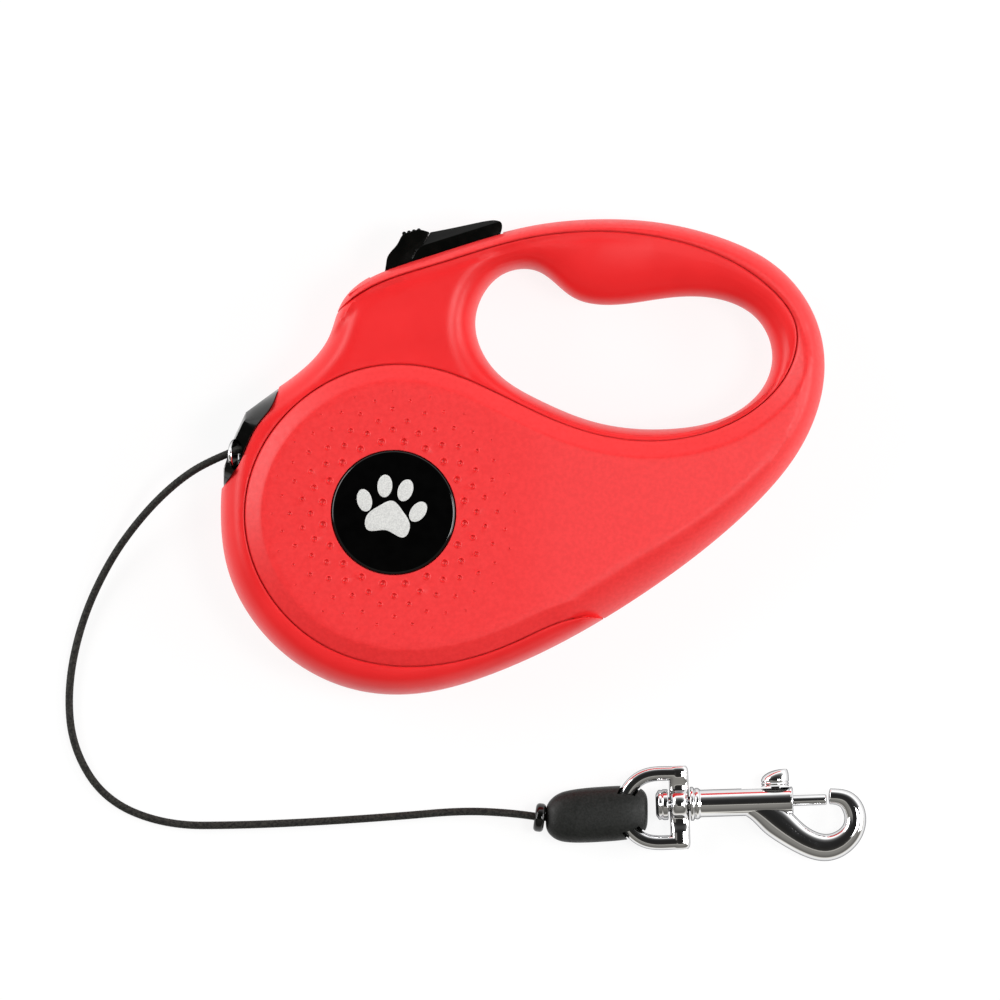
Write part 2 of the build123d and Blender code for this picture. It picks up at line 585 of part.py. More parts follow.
def make_hook():
    """Peened stem, flange, barrel for the bolt, and the open hook, in one casting."""
    outer = Spline(
        (18.4, -2.6), (23.1, -7.7), (28.7, -12.2), (34.6, -15.8), (41.3, -17.3), (46.8, -15.2),
        (50.8, -11.0), (52.4, -5.6), (51.5, -1.6), (49.2, 1.1), (46.1, 2.7), (41.9, 3.1),
    )
    inner = Spline(
        (41.9, -1.3), (43.8, -1.9), (45.6, -3.6), (46.2, -5.9), (44.8, -8.5), (41.0, -9.7), (36.8, -8.9),
        (33.8, -6.6), (32.4, -3.2), (32.0, -0.2),
    )
    close = Polyline(inner @ 1, (20.0, 0.0), outer @ 0)
    plan = make_face(Curve() + [outer, Line(outer @ 1, inner @ 0), inner, close])
    hook = prism(plan, -HOOK_HALF, HOOK_HALF)
    rims = [e for e in hook.edges() if abs(abs(e.center().Z) - HOOK_HALF) < 0.01 and e.center().X > 40]
    hook = fillet(rims, 1.9)
    barrel = rod_x(BARREL_RADIUS, BARREL_START, BARREL_END)
    barrel = fillet(barrel.edges().sort_by(Axis.X)[-1], 0.8)
    flange = rod_x(4.8, FLANGE_SEAT, BARREL_START + 0.1)
    hook = hook + barrel + flange + rod_x(STEM_RADIUS, -3.4, FLANGE_SEAT + 0.15)
    head = rod_x(4.4, -6.6, -3.1)
    hook += fillet(head.edges().sort_by(Axis.X)[0], 1.6)
    hook -= rod_x(BORE_RADIUS, 8.0, BARREL_END - 1) + rod_x(BOLT_RADIUS + RUNNING_GAP, 30.0, BOLT_TIP + 0.5)
    slot_half = 1.35
    slot_low, slot_high = KNOB_U - slot_half - BOLT_TRAVEL - 0.2, KNOB_U + slot_half
    hook -= Pos((slot_low + slot_high) / 2, 3, 0) * Box(slot_high - slot_low, 4, 2 * slot_half)
    return in_snap(hook)


def make_bolt():
    """Plunger, piston and thumb knob."""
    knob = rod(3.9, 4.15, 9.4) & (Pos(0, 0, 4.15) * Sphere(5.2))
    knob = fillet(knob.edges().sort_by(Axis.Z)[0], 0.5)
    knob = Pos(KNOB_U, 0, 0) * Rot(-90, 0, 0) * knob
    stem = Pos(KNOB_U, 0, 0) * Rot(-90, 0, 0) * rod(1.15, 0.5, 5.0)
    piston = rod_x(BORE_RADIUS - 0.07, 23.0, 30.8)
    bolt = piston + stem + knob + rod_x(BOLT_RADIUS, 30.0, BOLT_TIP)
    return in_snap(bolt)


def make_snap_spring():
    spring = Pos(8.5, 0, 0) * Rot(0, 90, 0) * coil_spring(1.9, 0.5, 13.9, 8)
    return in_snap(spring)


# ---- every node -------------------------------------------------------------------------------------
def main():
    back_shell, front_shell = make_shells()
    back_cover, front_cover = make_covers()
    radii = cord_radii(CORD_ROUTE)
    print("cord radii:", [round(r, 1) for r in radii])
    cord, length = tube(CORD_ROUTE, radii)
    section = math.pi * CORD_DIAMETER**2 / 4
    expected = section * length
    print("free cord length", round(length, 1), "volume", round(cord.volume, 1), "of", round(expected, 1))
    parts = {
        "back_shell": back_shell,
        "front_shell": front_shell,
        "back_cover": back_cover,
        "front_cover": front_cover,
        "front_badge": make_badge(True),
        "back_badge": make_badge(False),
        "housing_screws": make_screws(),
        "reel_axle": make_axle(),
        "axle_clip": make_axle_clip(),
        "axle_washers": make_washers(),
        "spring_arbor": make_arbor(),
        "drum": make_drum(),
        "drum_flange": make_drum_flange(),
        "spring_cover": make_spring_cover(),
        "power_spring": make_power_spring(),
        "cord_winding": make_winding(),
        "cord_inner_run": make_inner_run(),
        "brake_button": make_button(),
        "lock_slider": make_lock_slider(),
        "brake_pivot_pin": make_pivot_pin(),
        "brake_pawl": make_pawl(),
        "brake_spring": make_brake_spring(),
        "cord_nozzle": make_nozzle(),
        "nozzle_eyelet": make_eyelet(),
        "cord_free": cord,
        "cord_bead": make_bead(),
        "cord_boot": make_boot(),
        "snap_ring": make_ring(),
        "snap_hook": make_hook(),
        "snap_bolt": make_bolt(),
        "snap_spring": make_snap_spring(),
    }
    os.makedirs("parts", exist_ok=True)
    for name, shape in parts.items():
        export_step(shape, f"parts/{name}.step")


if __name__ == "__main__":
    main()
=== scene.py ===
import json
import math

import bmesh
import bpy
import numpy as np
from mathutils import Matrix, Vector
from mathutils.geometry import delaunay_2d_cdt


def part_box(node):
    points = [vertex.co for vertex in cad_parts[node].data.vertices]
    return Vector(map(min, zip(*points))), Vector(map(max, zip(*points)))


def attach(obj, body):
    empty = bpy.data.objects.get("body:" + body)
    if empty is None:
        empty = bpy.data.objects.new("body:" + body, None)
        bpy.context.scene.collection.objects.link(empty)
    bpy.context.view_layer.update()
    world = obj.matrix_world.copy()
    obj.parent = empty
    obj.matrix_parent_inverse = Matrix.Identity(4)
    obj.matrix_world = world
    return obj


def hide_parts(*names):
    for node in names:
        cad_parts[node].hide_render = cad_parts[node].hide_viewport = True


# Retractable leash. Outlines are in millimetres in the row frame: the origin is on the reel's axis at the
# resting plane, +X runs to the grip, +Y to the thumb button and +Z to the front.
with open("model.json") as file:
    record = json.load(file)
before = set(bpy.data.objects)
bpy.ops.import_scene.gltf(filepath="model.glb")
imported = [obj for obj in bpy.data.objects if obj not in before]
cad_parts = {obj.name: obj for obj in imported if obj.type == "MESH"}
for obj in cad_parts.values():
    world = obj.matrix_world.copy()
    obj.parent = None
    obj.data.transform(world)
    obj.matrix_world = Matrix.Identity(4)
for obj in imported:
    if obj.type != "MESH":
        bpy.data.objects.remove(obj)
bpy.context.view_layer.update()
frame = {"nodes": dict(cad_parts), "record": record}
MM = 0.001

# ---- sizes taken from the frame ----
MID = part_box("front_shell")[0].z / MM  # parting plane of the two housing halves
SHELL_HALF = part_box("front_shell")[1].z / MM - MID
COVER_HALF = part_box("front_cover")[1].z / MM - MID
BADGE_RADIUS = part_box("front_badge")[1].x / MM
CORD_DIAMETER = (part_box("cord_inner_run")[1].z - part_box("cord_inner_run")[0].z) / MM

# ---- outlines in plan, counter-clockwise, as in the CAD model ----
HOUSING_OUTLINE = [
    (120.6, 41.0), (118.2, 54.0), (107.0, 69.0), (92.0, 76.8), (74.0, 81.2), (56.0, 82.1),
    (37.1, 80.0), (16.4, 74.2), (1.1, 69.2), (-9.6, 64.2), (-14.6, 58.8), (-18.0, 49.6),
    (-25.0, 40.6), (-33.0, 34.6), (-41.2, 28.0), (-46.6, 16.7), (-48.5, 0.0), (-46.3, -16.7),
    (-38.2, -31.9), (-25.2, -43.6), (-8.8, -50.1), (8.9, -50.4), (26.5, -45.6), (44.9, -37.5),
    (67.3, -24.4), (86.5, -10.6), (101.8, 3.0), (113.8, 18.0),
]
OPENING_OUTLINE = [
    (105.9, 43.5), (101.9, 53.9), (88.0, 60.2), (74.0, 59.7), (60.0, 58.1), (50.0, 60.3),
    (40.0, 67.6), (31.0, 66.9), (24.8, 60.6), (22.8, 53.0), (28.2, 39.9), (40.5, 31.6),
    (56.0, 25.4), (77.1, 23.4), (95.7, 28.1), (103.4, 35.2),
]
SEAM = [
    (-17.0, 54.6), (-14.3, 57.5), (-9.5, 61.2), (1.7, 66.2), (12.9, 69.6), (32.9, 75.6),
    (50.0, 78.3), (71.6, 77.3), (92.0, 71.3), (105.5, 62.4), (112.4, 52.0), (110.5, 40.0),
    (102.1, 29.8), (85.2, 21.7), (64.8, 20.4), (46.5, 25.1), (24.1, 35.6), (9.0, 40.7),
    (-7.4, 40.5), (-25.7, 31.5), (-38.0, 15.8), (-41.6, -1.8), (-36.0, -20.9), (-18.9, -37.5),
    (5.7, -43.0), (35.3, -35.5), (48.5, -30.0), (58.8, -29.7), (65.0, -32.5),
]
SEAM_RETURN = [(65.0, -90.0), (170.0, -90.0), (170.0, 130.0), (-60.0, 130.0), (-60.0, 54.6)]
NOZZLE_OUTER = [(-32.3, 34.7), (-41.4, 28.0), (-45.4, 19.4), (-47.7, 12.4), (-47.6, 7.4)]
NOZZLE_INNER = [(-32.3, 34.7), (-34.1, 29.5), (-38.1, 24.2), (-41.4, 17.5), (-44.2, 11.9), (-47.6, 7.4)]
SCREW_HOLES = {  # radius, places
    "shell": (2.95, [(-9.0, 50.5), (68.0, 70.0), (99.5, 62.5)]),
    "cover": (3.0, [(66.0, 2.0), (40.0, -28.5)]),
}

# The snap's own frame: u along its axis, v across it, w up.
SNAP_ORIGIN = (80.0, -81.9, 5.0)
SNAP_TILT = math.radians(1.8)

# The free cord's route, in metres: the control points of its spline.
CORD_ROUTE = [
    (-0.0436, 0.0176, 0.0160), (-0.0520, 0.0144, 0.0156), (-0.0610, 0.0086, 0.0126),
    (-0.0705, -0.0006, 0.0076), (-0.0800, -0.0134, 0.0034), (-0.0880, -0.0306, 0.0015),
    (-0.0919, -0.0494, 0.0012), (-0.0904, -0.0664, 0.0012), (-0.0812, -0.0810, 0.0012),
    (-0.0640, -0.0880, 0.0012), (-0.0430, -0.0879, 0.0012), (-0.0210, -0.0869, 0.0012),
    (0.0010, -0.0854, 0.0012), (0.0190, -0.0838, 0.0016), (0.0330, -0.0844, 0.0038),
    (0.0440, -0.0860, 0.0050), (0.0530, -0.0854, 0.0050),
]


# ---- camera, floor and light ----
def new_object(name, data):
    obj = bpy.data.objects.new(name, data)
    bpy.context.scene.collection.objects.link(obj)
    return obj


def make_camera():
    """Straight overhead, with a long lens, and the grip to the right."""
    distance, view_width = 4.0, 0.28
    data = bpy.data.cameras.new("camera")
    data.sensor_width = 36.0
    data.lens = data.sensor_width * distance / view_width
    data.clip_end = 20.0
    camera = new_object("camera", data)
    camera.location = (0.0297, 0.0035, MID * MM + distance)
    bpy.context.scene.camera = camera


def set_inputs(node, **values):
    """Sets sockets by name, with _ for each space."""
    for socket, value in values.items():
        node.inputs[socket.replace("_", " ")].default_value = value


def area_light(name, place, target, size, power):
    data = bpy.data.lights.new(name, "AREA")
    data.shape = "RECTANGLE"
    data.size, data.size_y = size
    data.energy = power
    light = new_object(name, data)
    light.location = place
    direction = Vector(target) - Vector(place)
    light.rotation_euler = direction.to_track_quat("-Z", "Y").to_euler()


ROOM = {  # height of the direction, then brightness there
    "back": [(0.0, 1.3), (0.45, 1.3), (0.60, 0.50), (0.72, 0.14), (0.90, 0.03), (1.0, 0.02)],
    "front": [(0.0, 0.9), (0.15, 0.8), (0.27, 0.20), (0.45, 0.15), (0.86, 0.27), (0.925, 0.25), (0.935, 0.5),
              (0.955, 0.5), (0.965, 0.05), (1.0, 0.02)],
}
ROOM_COLOURS = ((1.0, 1.0, 1.0, 1), (1.0, 0.97, 0.90, 1))
SOFTBOXES = {  # place, size, power
    "softbox_left": ((-1.25, 0.45, 0.88), (1.3, 0.7), 14.0),
    "softbox_right": ((1.05, -0.05, 0.60), (0.7, 0.5), 6.5),
    "overhead_right": ((0.55, -0.05, 1.20), (0.35, 0.35), 5.2),
}


def make_world():
    """A pale room: bright low down and at the back, dim overhead, with a bright strip in front."""
    world = bpy.data.worlds.new("room")
    bpy.context.scene.world = world
    world.use_nodes = True
    nodes, links = world.node_tree.nodes, world.node_tree.links
    background = nodes["Background"]
    where = nodes.new("ShaderNodeTexCoord")
    split = nodes.new("ShaderNodeSeparateXYZ")
    links.new(where.outputs["Generated"], split.inputs[0])
    side = nodes.new("ShaderNodeMapRange")
    side.interpolation_type = "SMOOTHSTEP"
    set_inputs(side, From_Min=-0.12, From_Max=0.12, To_Min=1.0, To_Max=0.0)
    links.new(split.outputs["Y"], side.inputs["Value"])
    strength, tint = nodes.new("ShaderNodeMix"), nodes.new("ShaderNodeMix")
    tint.data_type = "RGBA"
    for socket, stops in zip(("A", "B"), ROOM.values()):
        wall = nodes.new("ShaderNodeFloatCurve")
        curve = wall.mapping.curves[0]
        for point, (height, value) in zip(curve.points, (stops[0], stops[-1])):
            point.location = (height, value / 2)
        for height, value in stops[1:-1]:
            curve.points.new(height, value / 2)
        for point in curve.points:
            point.handle_type = "VECTOR"
        wall.mapping.update()
        links.new(split.outputs["Z"], wall.inputs["Value"])
        links.new(wall.outputs[0], strength.inputs[socket])
    links.new(side.outputs[0], strength.inputs["Factor"])
    links.new(side.outputs[0], tint.inputs["Factor"])
    tint.inputs[6].default_value, tint.inputs[7].default_value = ROOM_COLOURS
    twice = nodes.new("ShaderNodeMath")
    twice.operation = "MULTIPLY"
    twice.inputs[1].default_value = 2.0
    links.new(strength.outputs[0], twice.inputs[0])
    links.new(twice.outputs[0], background.inputs["Strength"])
    links.new(tint.outputs[2], background.inputs["Color"])


def make_stage():
    bm = bmesh.new()
    bmesh.ops.create_grid(bm, x_segments=8, y_segments=8, size=1.5)
    mesh = bpy.data.meshes.new("floor")
    bm.to_mesh(mesh)
    bm.free()
    floor = new_object("floor", mesh)
    floor.location = (0.03, 0, -0.0002)
    material = new_material("floor_white")
    set_inputs(material.node_tree.nodes["Principled BSDF"], Base_Color=(0.16, 0.16, 0.16, 1), Roughness=0.9,
               Specular_IOR_Level=0.0, Emission_Color=(1, 1, 1, 1), Emission_Strength=0.86)
    mesh.materials.append(material)
    for name, (place, size, power) in SOFTBOXES.items():
        area_light(name, place, (0.03, 0, 0), size, power)


# ---- materials ----
def new_material(name):
    material = bpy.data.materials.new(name)
    material.use_nodes = True
    return material


def noise(nodes, links, where, scale, detail=2.0, roughness=0.5):
    texture = nodes.new("ShaderNodeTexNoise")
    set_inputs(texture, Scale=scale, Detail=detail, Roughness=roughness)
    links.new(where.outputs["Object"], texture.inputs["Vector"])
    return texture.outputs["Fac"]


def ramp(nodes, links, value, low, high, stops=(0.35, 0.65)):
    """A colour between two, by a texture's value."""
    mix = nodes.new("ShaderNodeValToRGB")
    mix.color_ramp.elements[0].position, mix.color_ramp.elements[1].position = stops
    mix.color_ramp.elements[0].color = (*low, 1)
    mix.color_ramp.elements[1].color = (*high, 1)
    links.new(value, mix.inputs["Fac"])
    return mix.outputs["Color"]


def spread(nodes, links, value, low, high):
    """A texture's value from 0.3 to 0.7, moved to a range."""
    remap = nodes.new("ShaderNodeMapRange")
    set_inputs(remap, From_Min=0.3, From_Max=0.7, To_Min=low, To_Max=high)
    links.new(value, remap.inputs["Value"])
    return remap.outputs["Result"]


def bump(nodes, links, value, shader, strength, depth):
    node = nodes.new("ShaderNodeBump")
    set_inputs(node, Strength=strength, Distance=depth)
    links.new(value, node.inputs["Height"])
    links.new(node.outputs["Normal"], shader.inputs["Normal"])


def surface(name, low, high, rough, colour_scale, rough_scale, grain_scale, grain, **fixed):
    """A material with its own colour variation, uneven gloss and grain. Scales are per metre."""
    material = new_material(name)
    nodes, links = material.node_tree.nodes, material.node_tree.links
    shader = nodes["Principled BSDF"]
    where = nodes.new("ShaderNodeTexCoord")
    colour = ramp(nodes, links, noise(nodes, links, where, colour_scale), low, high)
    gloss = spread(nodes, links, noise(nodes, links, where, rough_scale, 4.0), *rough)
    links.new(colour, shader.inputs["Base Color"])
    links.new(gloss, shader.inputs["Roughness"])
    bump(nodes, links, noise(nodes, links, where, grain_scale, 3.0), shader, *grain)
    set_inputs(shader, **fixed)
    return material


PAINTED_DARK_RIM_REFLECTION = (0.12, 0.12, 0.13, 1)  # painted reflection: the chrome's glancing edges are tinted dark, standing in for the shaded floor close by that it would mirror


# Darkest and lightest colour, roughness, the scales of colour, gloss and grain, the grain's strength and
# depth, and what else is fixed.
SURFACES = {
    "red_shell": ((0.78, 0.016, 0.018), (0.83, 0.020, 0.022), (0.33, 0.40),
        60, 900, 3200, (0.22, 0.00004), dict(Specular_IOR_Level=0.32)),
    "red_cover": ((0.79, 0.018, 0.020), (0.85, 0.024, 0.026), (0.40, 0.50),
        900, 700, 2600, (0.30, 0.00005), dict(Specular_IOR_Level=0.5)),
    "badge_gloss": ((0.0004, 0.0004, 0.0004), (0.001, 0.001, 0.001), (0.03, 0.06),
        300, 200, 500, (0.02, 0.00001), {}),
    "black_gloss": ((0.0012, 0.0015, 0.0012), (0.003, 0.003, 0.0025), (0.08, 0.14),
        200, 400, 900, (0.05, 0.00002), {}),
    "inner_plastic": ((0.020, 0.021, 0.022), (0.032, 0.033, 0.034), (0.42, 0.56),
        150, 300, 2000, (0.2, 0.00004), {}),
    "steel": ((0.50, 0.50, 0.51), (0.62, 0.62, 0.62), (0.22, 0.36),
        120, 500, 1800, (0.15, 0.00002), dict(Metallic=1.0)),
    "spring_steel": ((0.30, 0.32, 0.36), (0.42, 0.44, 0.47), (0.25, 0.36),
        200, 500, 1800, (0.15, 0.00002), dict(Metallic=1.0)),
    # the chrome's edge tint is the painted dark reflection set above
    "chrome": ((0.78, 0.78, 0.79), (0.86, 0.86, 0.86), (0.03, 0.07),
        90, 260, 420, (0.08, 0.00008), dict(Metallic=1.0, Specular_Tint=PAINTED_DARK_RIM_REFLECTION)),
    "boot_rubber": ((0.006, 0.007, 0.006), (0.014, 0.015, 0.014), (0.42, 0.56),
        1600, 500, 2600, (0.5, 0.00006), dict(Specular_IOR_Level=0.3)),
    "cord_braid": ((0.004, 0.004, 0.004), (0.030, 0.029, 0.024), (0.60, 0.80),
        1500, 800, 4000, (0.5, 0.00005), dict(Specular_IOR_Level=0.3)),
    "joint_red": ((0.74, 0.010, 0.012), (0.82, 0.014, 0.016), (0.5, 0.6), 300, 700, 2600, (0.1, 0.00003), {}),
    "silver_print": ((0.56, 0.56, 0.55), (0.72, 0.72, 0.70), (0.40, 0.60),
        2600, 800, 2600, (0.2, 0.00003), {}),
}


def make_materials():
    """One material for each slot of the record, and two more."""
    return {name: surface(name, *values, **fixed) for name, (*values, fixed) in SURFACES.items()}


# ---- plane curves ----
def smooth_line(points, count, closed=False):
    """A cubic spline through the points, in even steps. Columns after the first two go along with them."""
    p = np.array(points, float)
    if closed:
        p = np.vstack([p, p[:1]])
    knots = lengths(p[:, :2])
    n = len(p) - 1
    step = np.diff(knots)
    slope = np.diff(p, axis=0) / step[:, None]
    matrix, right = np.zeros((n + 1, n + 1)), np.zeros((n + 1, p.shape[1]))
    for i in range(1, n):
        matrix[i, i - 1:i + 2] = step[i - 1], 2 * (step[i - 1] + step[i]), step[i]
        right[i] = 6 * (slope[i] - slope[i - 1])
    matrix[0, 0] = matrix[n, n] = 1
    if closed:
        matrix[0, n] = -1
        matrix[n] = 0
        matrix[n, [0, 1, n - 1]] = 2 * (step[0] + step[-1]), step[0], step[-1]
        right[n] = 6 * (slope[0] - slope[-1])
    bend = np.linalg.solve(matrix, right)
    t = np.linspace(0, knots[-1], count + 1)
    if closed:
        t = t[:-1]
    i = np.clip(np.searchsorted(knots, t, side="right") - 1, 0, n - 1)
    a, b = (knots[i + 1] - t) / step[i], (t - knots[i]) / step[i]
    h = step[i] ** 2 / 6
    return (a[:, None] * p[i] + b[:, None] * p[i + 1]
            + ((a**3 - a) * h)[:, None] * bend[i] + ((b**3 - b) * h)[:, None] * bend[i + 1])


def lengths(line):
    """How far along a polyline each of its points is."""
    return np.concatenate([[0], np.cumsum(np.linalg.norm(np.diff(line, axis=0), axis=1))])


def left_normals(line, closed):
    if closed:
        along = np.roll(line, -1, 0) - np.roll(line, 1, 0)
    else:
        along = np.gradient(line, axis=0)
    along /= np.linalg.norm(along, axis=1)[:, None]
    return np.stack([-along[:, 1], along[:, 0]], 1)


def distance_to(points, line, closed):
    """From each point to the nearest place on a polyline."""
    a = line if closed else line[:-1]
    d = (np.roll(line, -1, 0) - line) if closed else np.diff(line, axis=0)
    squared = (d**2).sum(1)
    best = np.empty(len(points))
    for rows in np.array_split(np.arange(len(points)), len(points) // 1500 + 1):
        gap = points[rows][:, None, :] - a
        t = np.clip((gap * d).sum(2) / squared, 0, 1)
        best[rows] = np.sqrt(((gap - t[..., None] * d) ** 2).sum(2).min(1))
    return best


def inside(points, polygon):
    x, y = points[:, 0], points[:, 1]
    odd = np.zeros(len(points), bool)
    for (x0, y0), (x1, y1) in zip(polygon, np.roll(polygon, -1, 0)):
        if y0 != y1:
            crosses = (y0 > y) != (y1 > y)
            odd ^= crosses & (x < (x1 - x0) * (y - y0) / (y1 - y0) + x0)
    return odd


def smooth_min(a, b, radius):
    blend = np.clip(1 - np.abs(a - b) / radius, 0, None)
    return np.minimum(a, b) - blend**2 * radius / 4


def smooth_step(value):
    t = np.clip(value, 0, 1)
    return t * t * (3 - 2 * t)


# ---- the housing's skins, as height fields over the parting plane ----
OUTER_LINE = smooth_line(HOUSING_OUTLINE, 440, True)
OPENING_LINE = smooth_line(OPENING_OUTLINE, 240, True)
SEAM_LINE = smooth_line(SEAM, 460, False)
COVER_POLYGON = np.vstack([SEAM_LINE, SEAM_RETURN])
SEAM_GAP = 0.13  # half the width of the visible joint
PARTING_GAP = 0.04
SKIN = 1.4
RIM_ROLL = 6.6  # how wide the shell's rounded rim is
GRIP_ROLL = 7.5  # how wide its roll into the opening is at the neck ...
GRIP_ROLL_TOP = 17.5  # ... and above the opening, where the fingers close
NARROWEST_ROLL = 4.0
BAND_WIDTH, BAND_DROP = 4.7, 2.5  # the cover's bevel beside the seam
CREASE = ([50, 68, 90, 112, 121], [9.6, 9.4, 6.6, 4.4, 3.2])  # x, then the side wall's width there
TAPER_FROM_X, TAPER_RATE, TAPER_BLEND = 40.0, 3.5 / 80.0, 6.0
DIMPLE_EDGE = 0.2  # room over the cover's face for the dimples' raised edges
ROLL_STEPS = [0.05, 0.18, 0.4, 0.75, 1.2, 1.8, 2.6, 3.6, 4.8, 6.2, 7.8, 8.6, 9.6]
LIP_STEPS = [0.19, 0.27, 0.38, 0.55]
LIP_WIDTH, LIP_DROP = 0.4, 0.28
FILL_STEP = 1.9
DIMPLE_RINGS = [(20.0, 0.85), (23.2, 0.72), (25.8, 0.62), (29.0, 0.50), (31.5, 0.38), (33.9, 0.27)]
DIMPLES_PER_RING = 20
DIMPLE_FIRST_ANGLE = 81.5
DIMPLE_PROFILE = [0.0, 0.5, 0.8, 1.0, 1.22, 1.5]  # rings of vertices, in radii


def taper(x):
    """The grip thins towards its back."""
    past = x - TAPER_FROM_X
    return TAPER_RATE * (past + np.sqrt(past**2 + TAPER_BLEND**2)) / 2


def roll(distance, width):
    """A quarter ellipse, from 0 at the edge to 1 at its width."""
    return np.sqrt(1 - (1 - np.clip(distance / width, 0, 1)) ** 2)


def soft_roll(distance, width):
    """A roll that meets the flat more gently."""
    return np.sqrt(1 - (1 - np.clip(distance / (1.2 * width), 0, 1)) ** 2.7)


def dimples():
    """(x, y, radius) of each dimple: staggered rings round the badge, smaller outwards."""
    found = []
    for ring, (r, size) in enumerate(DIMPLE_RINGS):
        for i in range(DIMPLES_PER_RING):
            angle = math.radians(DIMPLE_FIRST_ANGLE + 9.0 * (ring % 2) + 360 / DIMPLES_PER_RING * i)
            found.append((r * math.cos(angle), r * math.sin(angle), size))
    return np.array(found)


DIMPLES = dimples()


def dimple_depth(points):
    """A shallow cup with a slightly raised edge."""
    depth = np.zeros(len(points))
    near = np.hypot(points[:, 0], points[:, 1]) < DIMPLE_RINGS[-1][0] + 2
    rows = np.flatnonzero(near)
    for x, y, r in DIMPLES:
        s = np.hypot(points[rows, 0] - x, points[rows, 1] - y) / r
        cup = np.where(s < 1, -0.72 * r * (1 - s**2) ** 0.5, 0)
        edge = 0.22 * r * np.exp(-((s - 1.12) / 0.16) ** 2)
        depth[rows] += np.where(s < 1.6, cup + edge, 0)
    return depth


def shell_height(points, to_outer, to_opening, to_seam):
    x, y = points.T
    flat = SHELL_HALF - taper(x)
    above = smooth_step((x - 36) / 22) * smooth_step((y - 48) / 10)
    widest = GRIP_ROLL + (GRIP_ROLL_TOP - GRIP_ROLL) * above
    grip = soft_roll(to_opening, np.clip(to_opening + to_seam, NARROWEST_ROLL, widest))
    rim = soft_roll(to_outer, np.clip(to_outer + to_seam, NARROWEST_ROLL, RIM_ROLL))
    return flat * grip * rim


def cover_height(points, to_outer, to_opening, to_seam):
    x, y = points.T
    plate = COVER_HALF - DIMPLE_EDGE - taper(x)
    top = smooth_min(plate, plate - BAND_DROP + BAND_DROP / BAND_WIDTH * to_seam, 0.35)
    # A band beside the seam round the grip; below it, a side wall that meets the plate in a crease.
    strip = top * roll(to_outer, np.clip(to_outer + to_seam, 2.5, RIM_ROLL))
    crease = np.interp(x, *CREASE)
    wall = smooth_min(top, plate * 1.09 * roll(to_outer, crease / 0.60), 0.35)
    low = smooth_step((52 - y) / 36) * smooth_step((x - 44) / 10)
    return strip * (1 - low) + wall * low


def constraint_lines():
    """Lines that the surface's edges follow, as (points, closed, which points to keep)."""
    outer_n = left_normals(OUTER_LINE, True)
    opening_n = -left_normals(OPENING_LINE, True)
    seam_n = left_normals(SEAM_LINE, False)
    yield OUTER_LINE, True, None
    yield OPENING_LINE, True, None
    for side in (-1, 1):
        yield SEAM_LINE + side * SEAM_GAP * seam_n, False, None
        for step in LIP_STEPS:
            line = SEAM_LINE + side * step * seam_n
            yield line, False, (distance_to(line, OUTER_LINE, True) > 0.1) & inside(line, OUTER_LINE)
    for step in ROLL_STEPS:
        for edge, normals in ((OUTER_LINE, outer_n), (OPENING_LINE, opening_n)):
            line = edge + step * normals
            true = distance_to(line, edge, True) > step - 0.02
            yield line, True, true & (distance_to(line, SEAM_LINE, False) > 0.75)
    for step in (1.4, 2.6, 3.7, BAND_WIDTH - 0.25, BAND_WIDTH + 0.25):
        line = SEAM_LINE + step * seam_n
        keep = inside(line, OUTER_LINE) & inside(line, COVER_POLYGON)
        keep &= distance_to(line, OUTER_LINE, True) > 8.2
        yield line, False, keep & (distance_to(line, SEAM_LINE, False) > step - 0.02)


def triangulate():
    """Points and triangles over the whole plan, with edges along every outline."""
    points, edges = [], []
    for line, closed, keep in constraint_lines():
        first, kept = len(points), {}
        for i, p in enumerate(line):
            if keep is None or keep[i]:
                kept[i] = first + len(kept)
                points.append(tuple(p))
        for i in kept:
            after = (i + 1) % len(line) if closed else i + 1
            if after in kept:
                edges.append((kept[i], kept[after]))
    rings = np.array(points)
    for x, y, r in DIMPLES:
        for k, share in enumerate(DIMPLE_PROFILE):
            count = 1 if share == 0 else 12
            for j in range(count):
                a = 2 * math.pi * (j + 0.5 * (k % 2)) / count
                points.append((x + share * r * math.cos(a), y + share * r * math.sin(a)))
    low, high = OUTER_LINE.min(0), OUTER_LINE.max(0)
    columns = np.arange(low[0], high[0], FILL_STEP)
    rows = np.arange(low[1], high[1], FILL_STEP * 0.866)
    grid = np.array([(x + FILL_STEP / 2 * (k % 2), y) for k, y in enumerate(rows) for x in columns])
    grid = grid[inside(grid, OUTER_LINE) & ~inside(grid, OPENING_LINE)]
    clear = np.ones(len(grid), bool)
    for rows in np.array_split(np.arange(len(grid)), 20):
        gap = np.linalg.norm(grid[rows][:, None, :] - rings, axis=2).min(1)
        clear[rows] = gap > 0.75
        to_dimple = np.linalg.norm(grid[rows][:, None, :] - DIMPLES[:, :2], axis=2) - 1.75 * DIMPLES[:, 2]
        clear[rows] &= to_dimple.min(1) > 0
    points += [tuple(p) for p in grid[clear]]
    out = delaunay_2d_cdt([Vector(p) for p in points], edges, [], 0, 1e-7)
    return np.array([tuple(v) for v in out[0]]), np.array([f for f in out[2]])


def vertex_normals(co, faces):
    a, b, c = co[faces[:, 0]], co[faces[:, 1]], co[faces[:, 2]]
    flat = np.cross(b - a, c - a)
    total = np.zeros_like(co)
    for corner in range(3):
        np.add.at(total, faces[:, corner], flat)
    return total / np.linalg.norm(total, axis=1)[:, None]


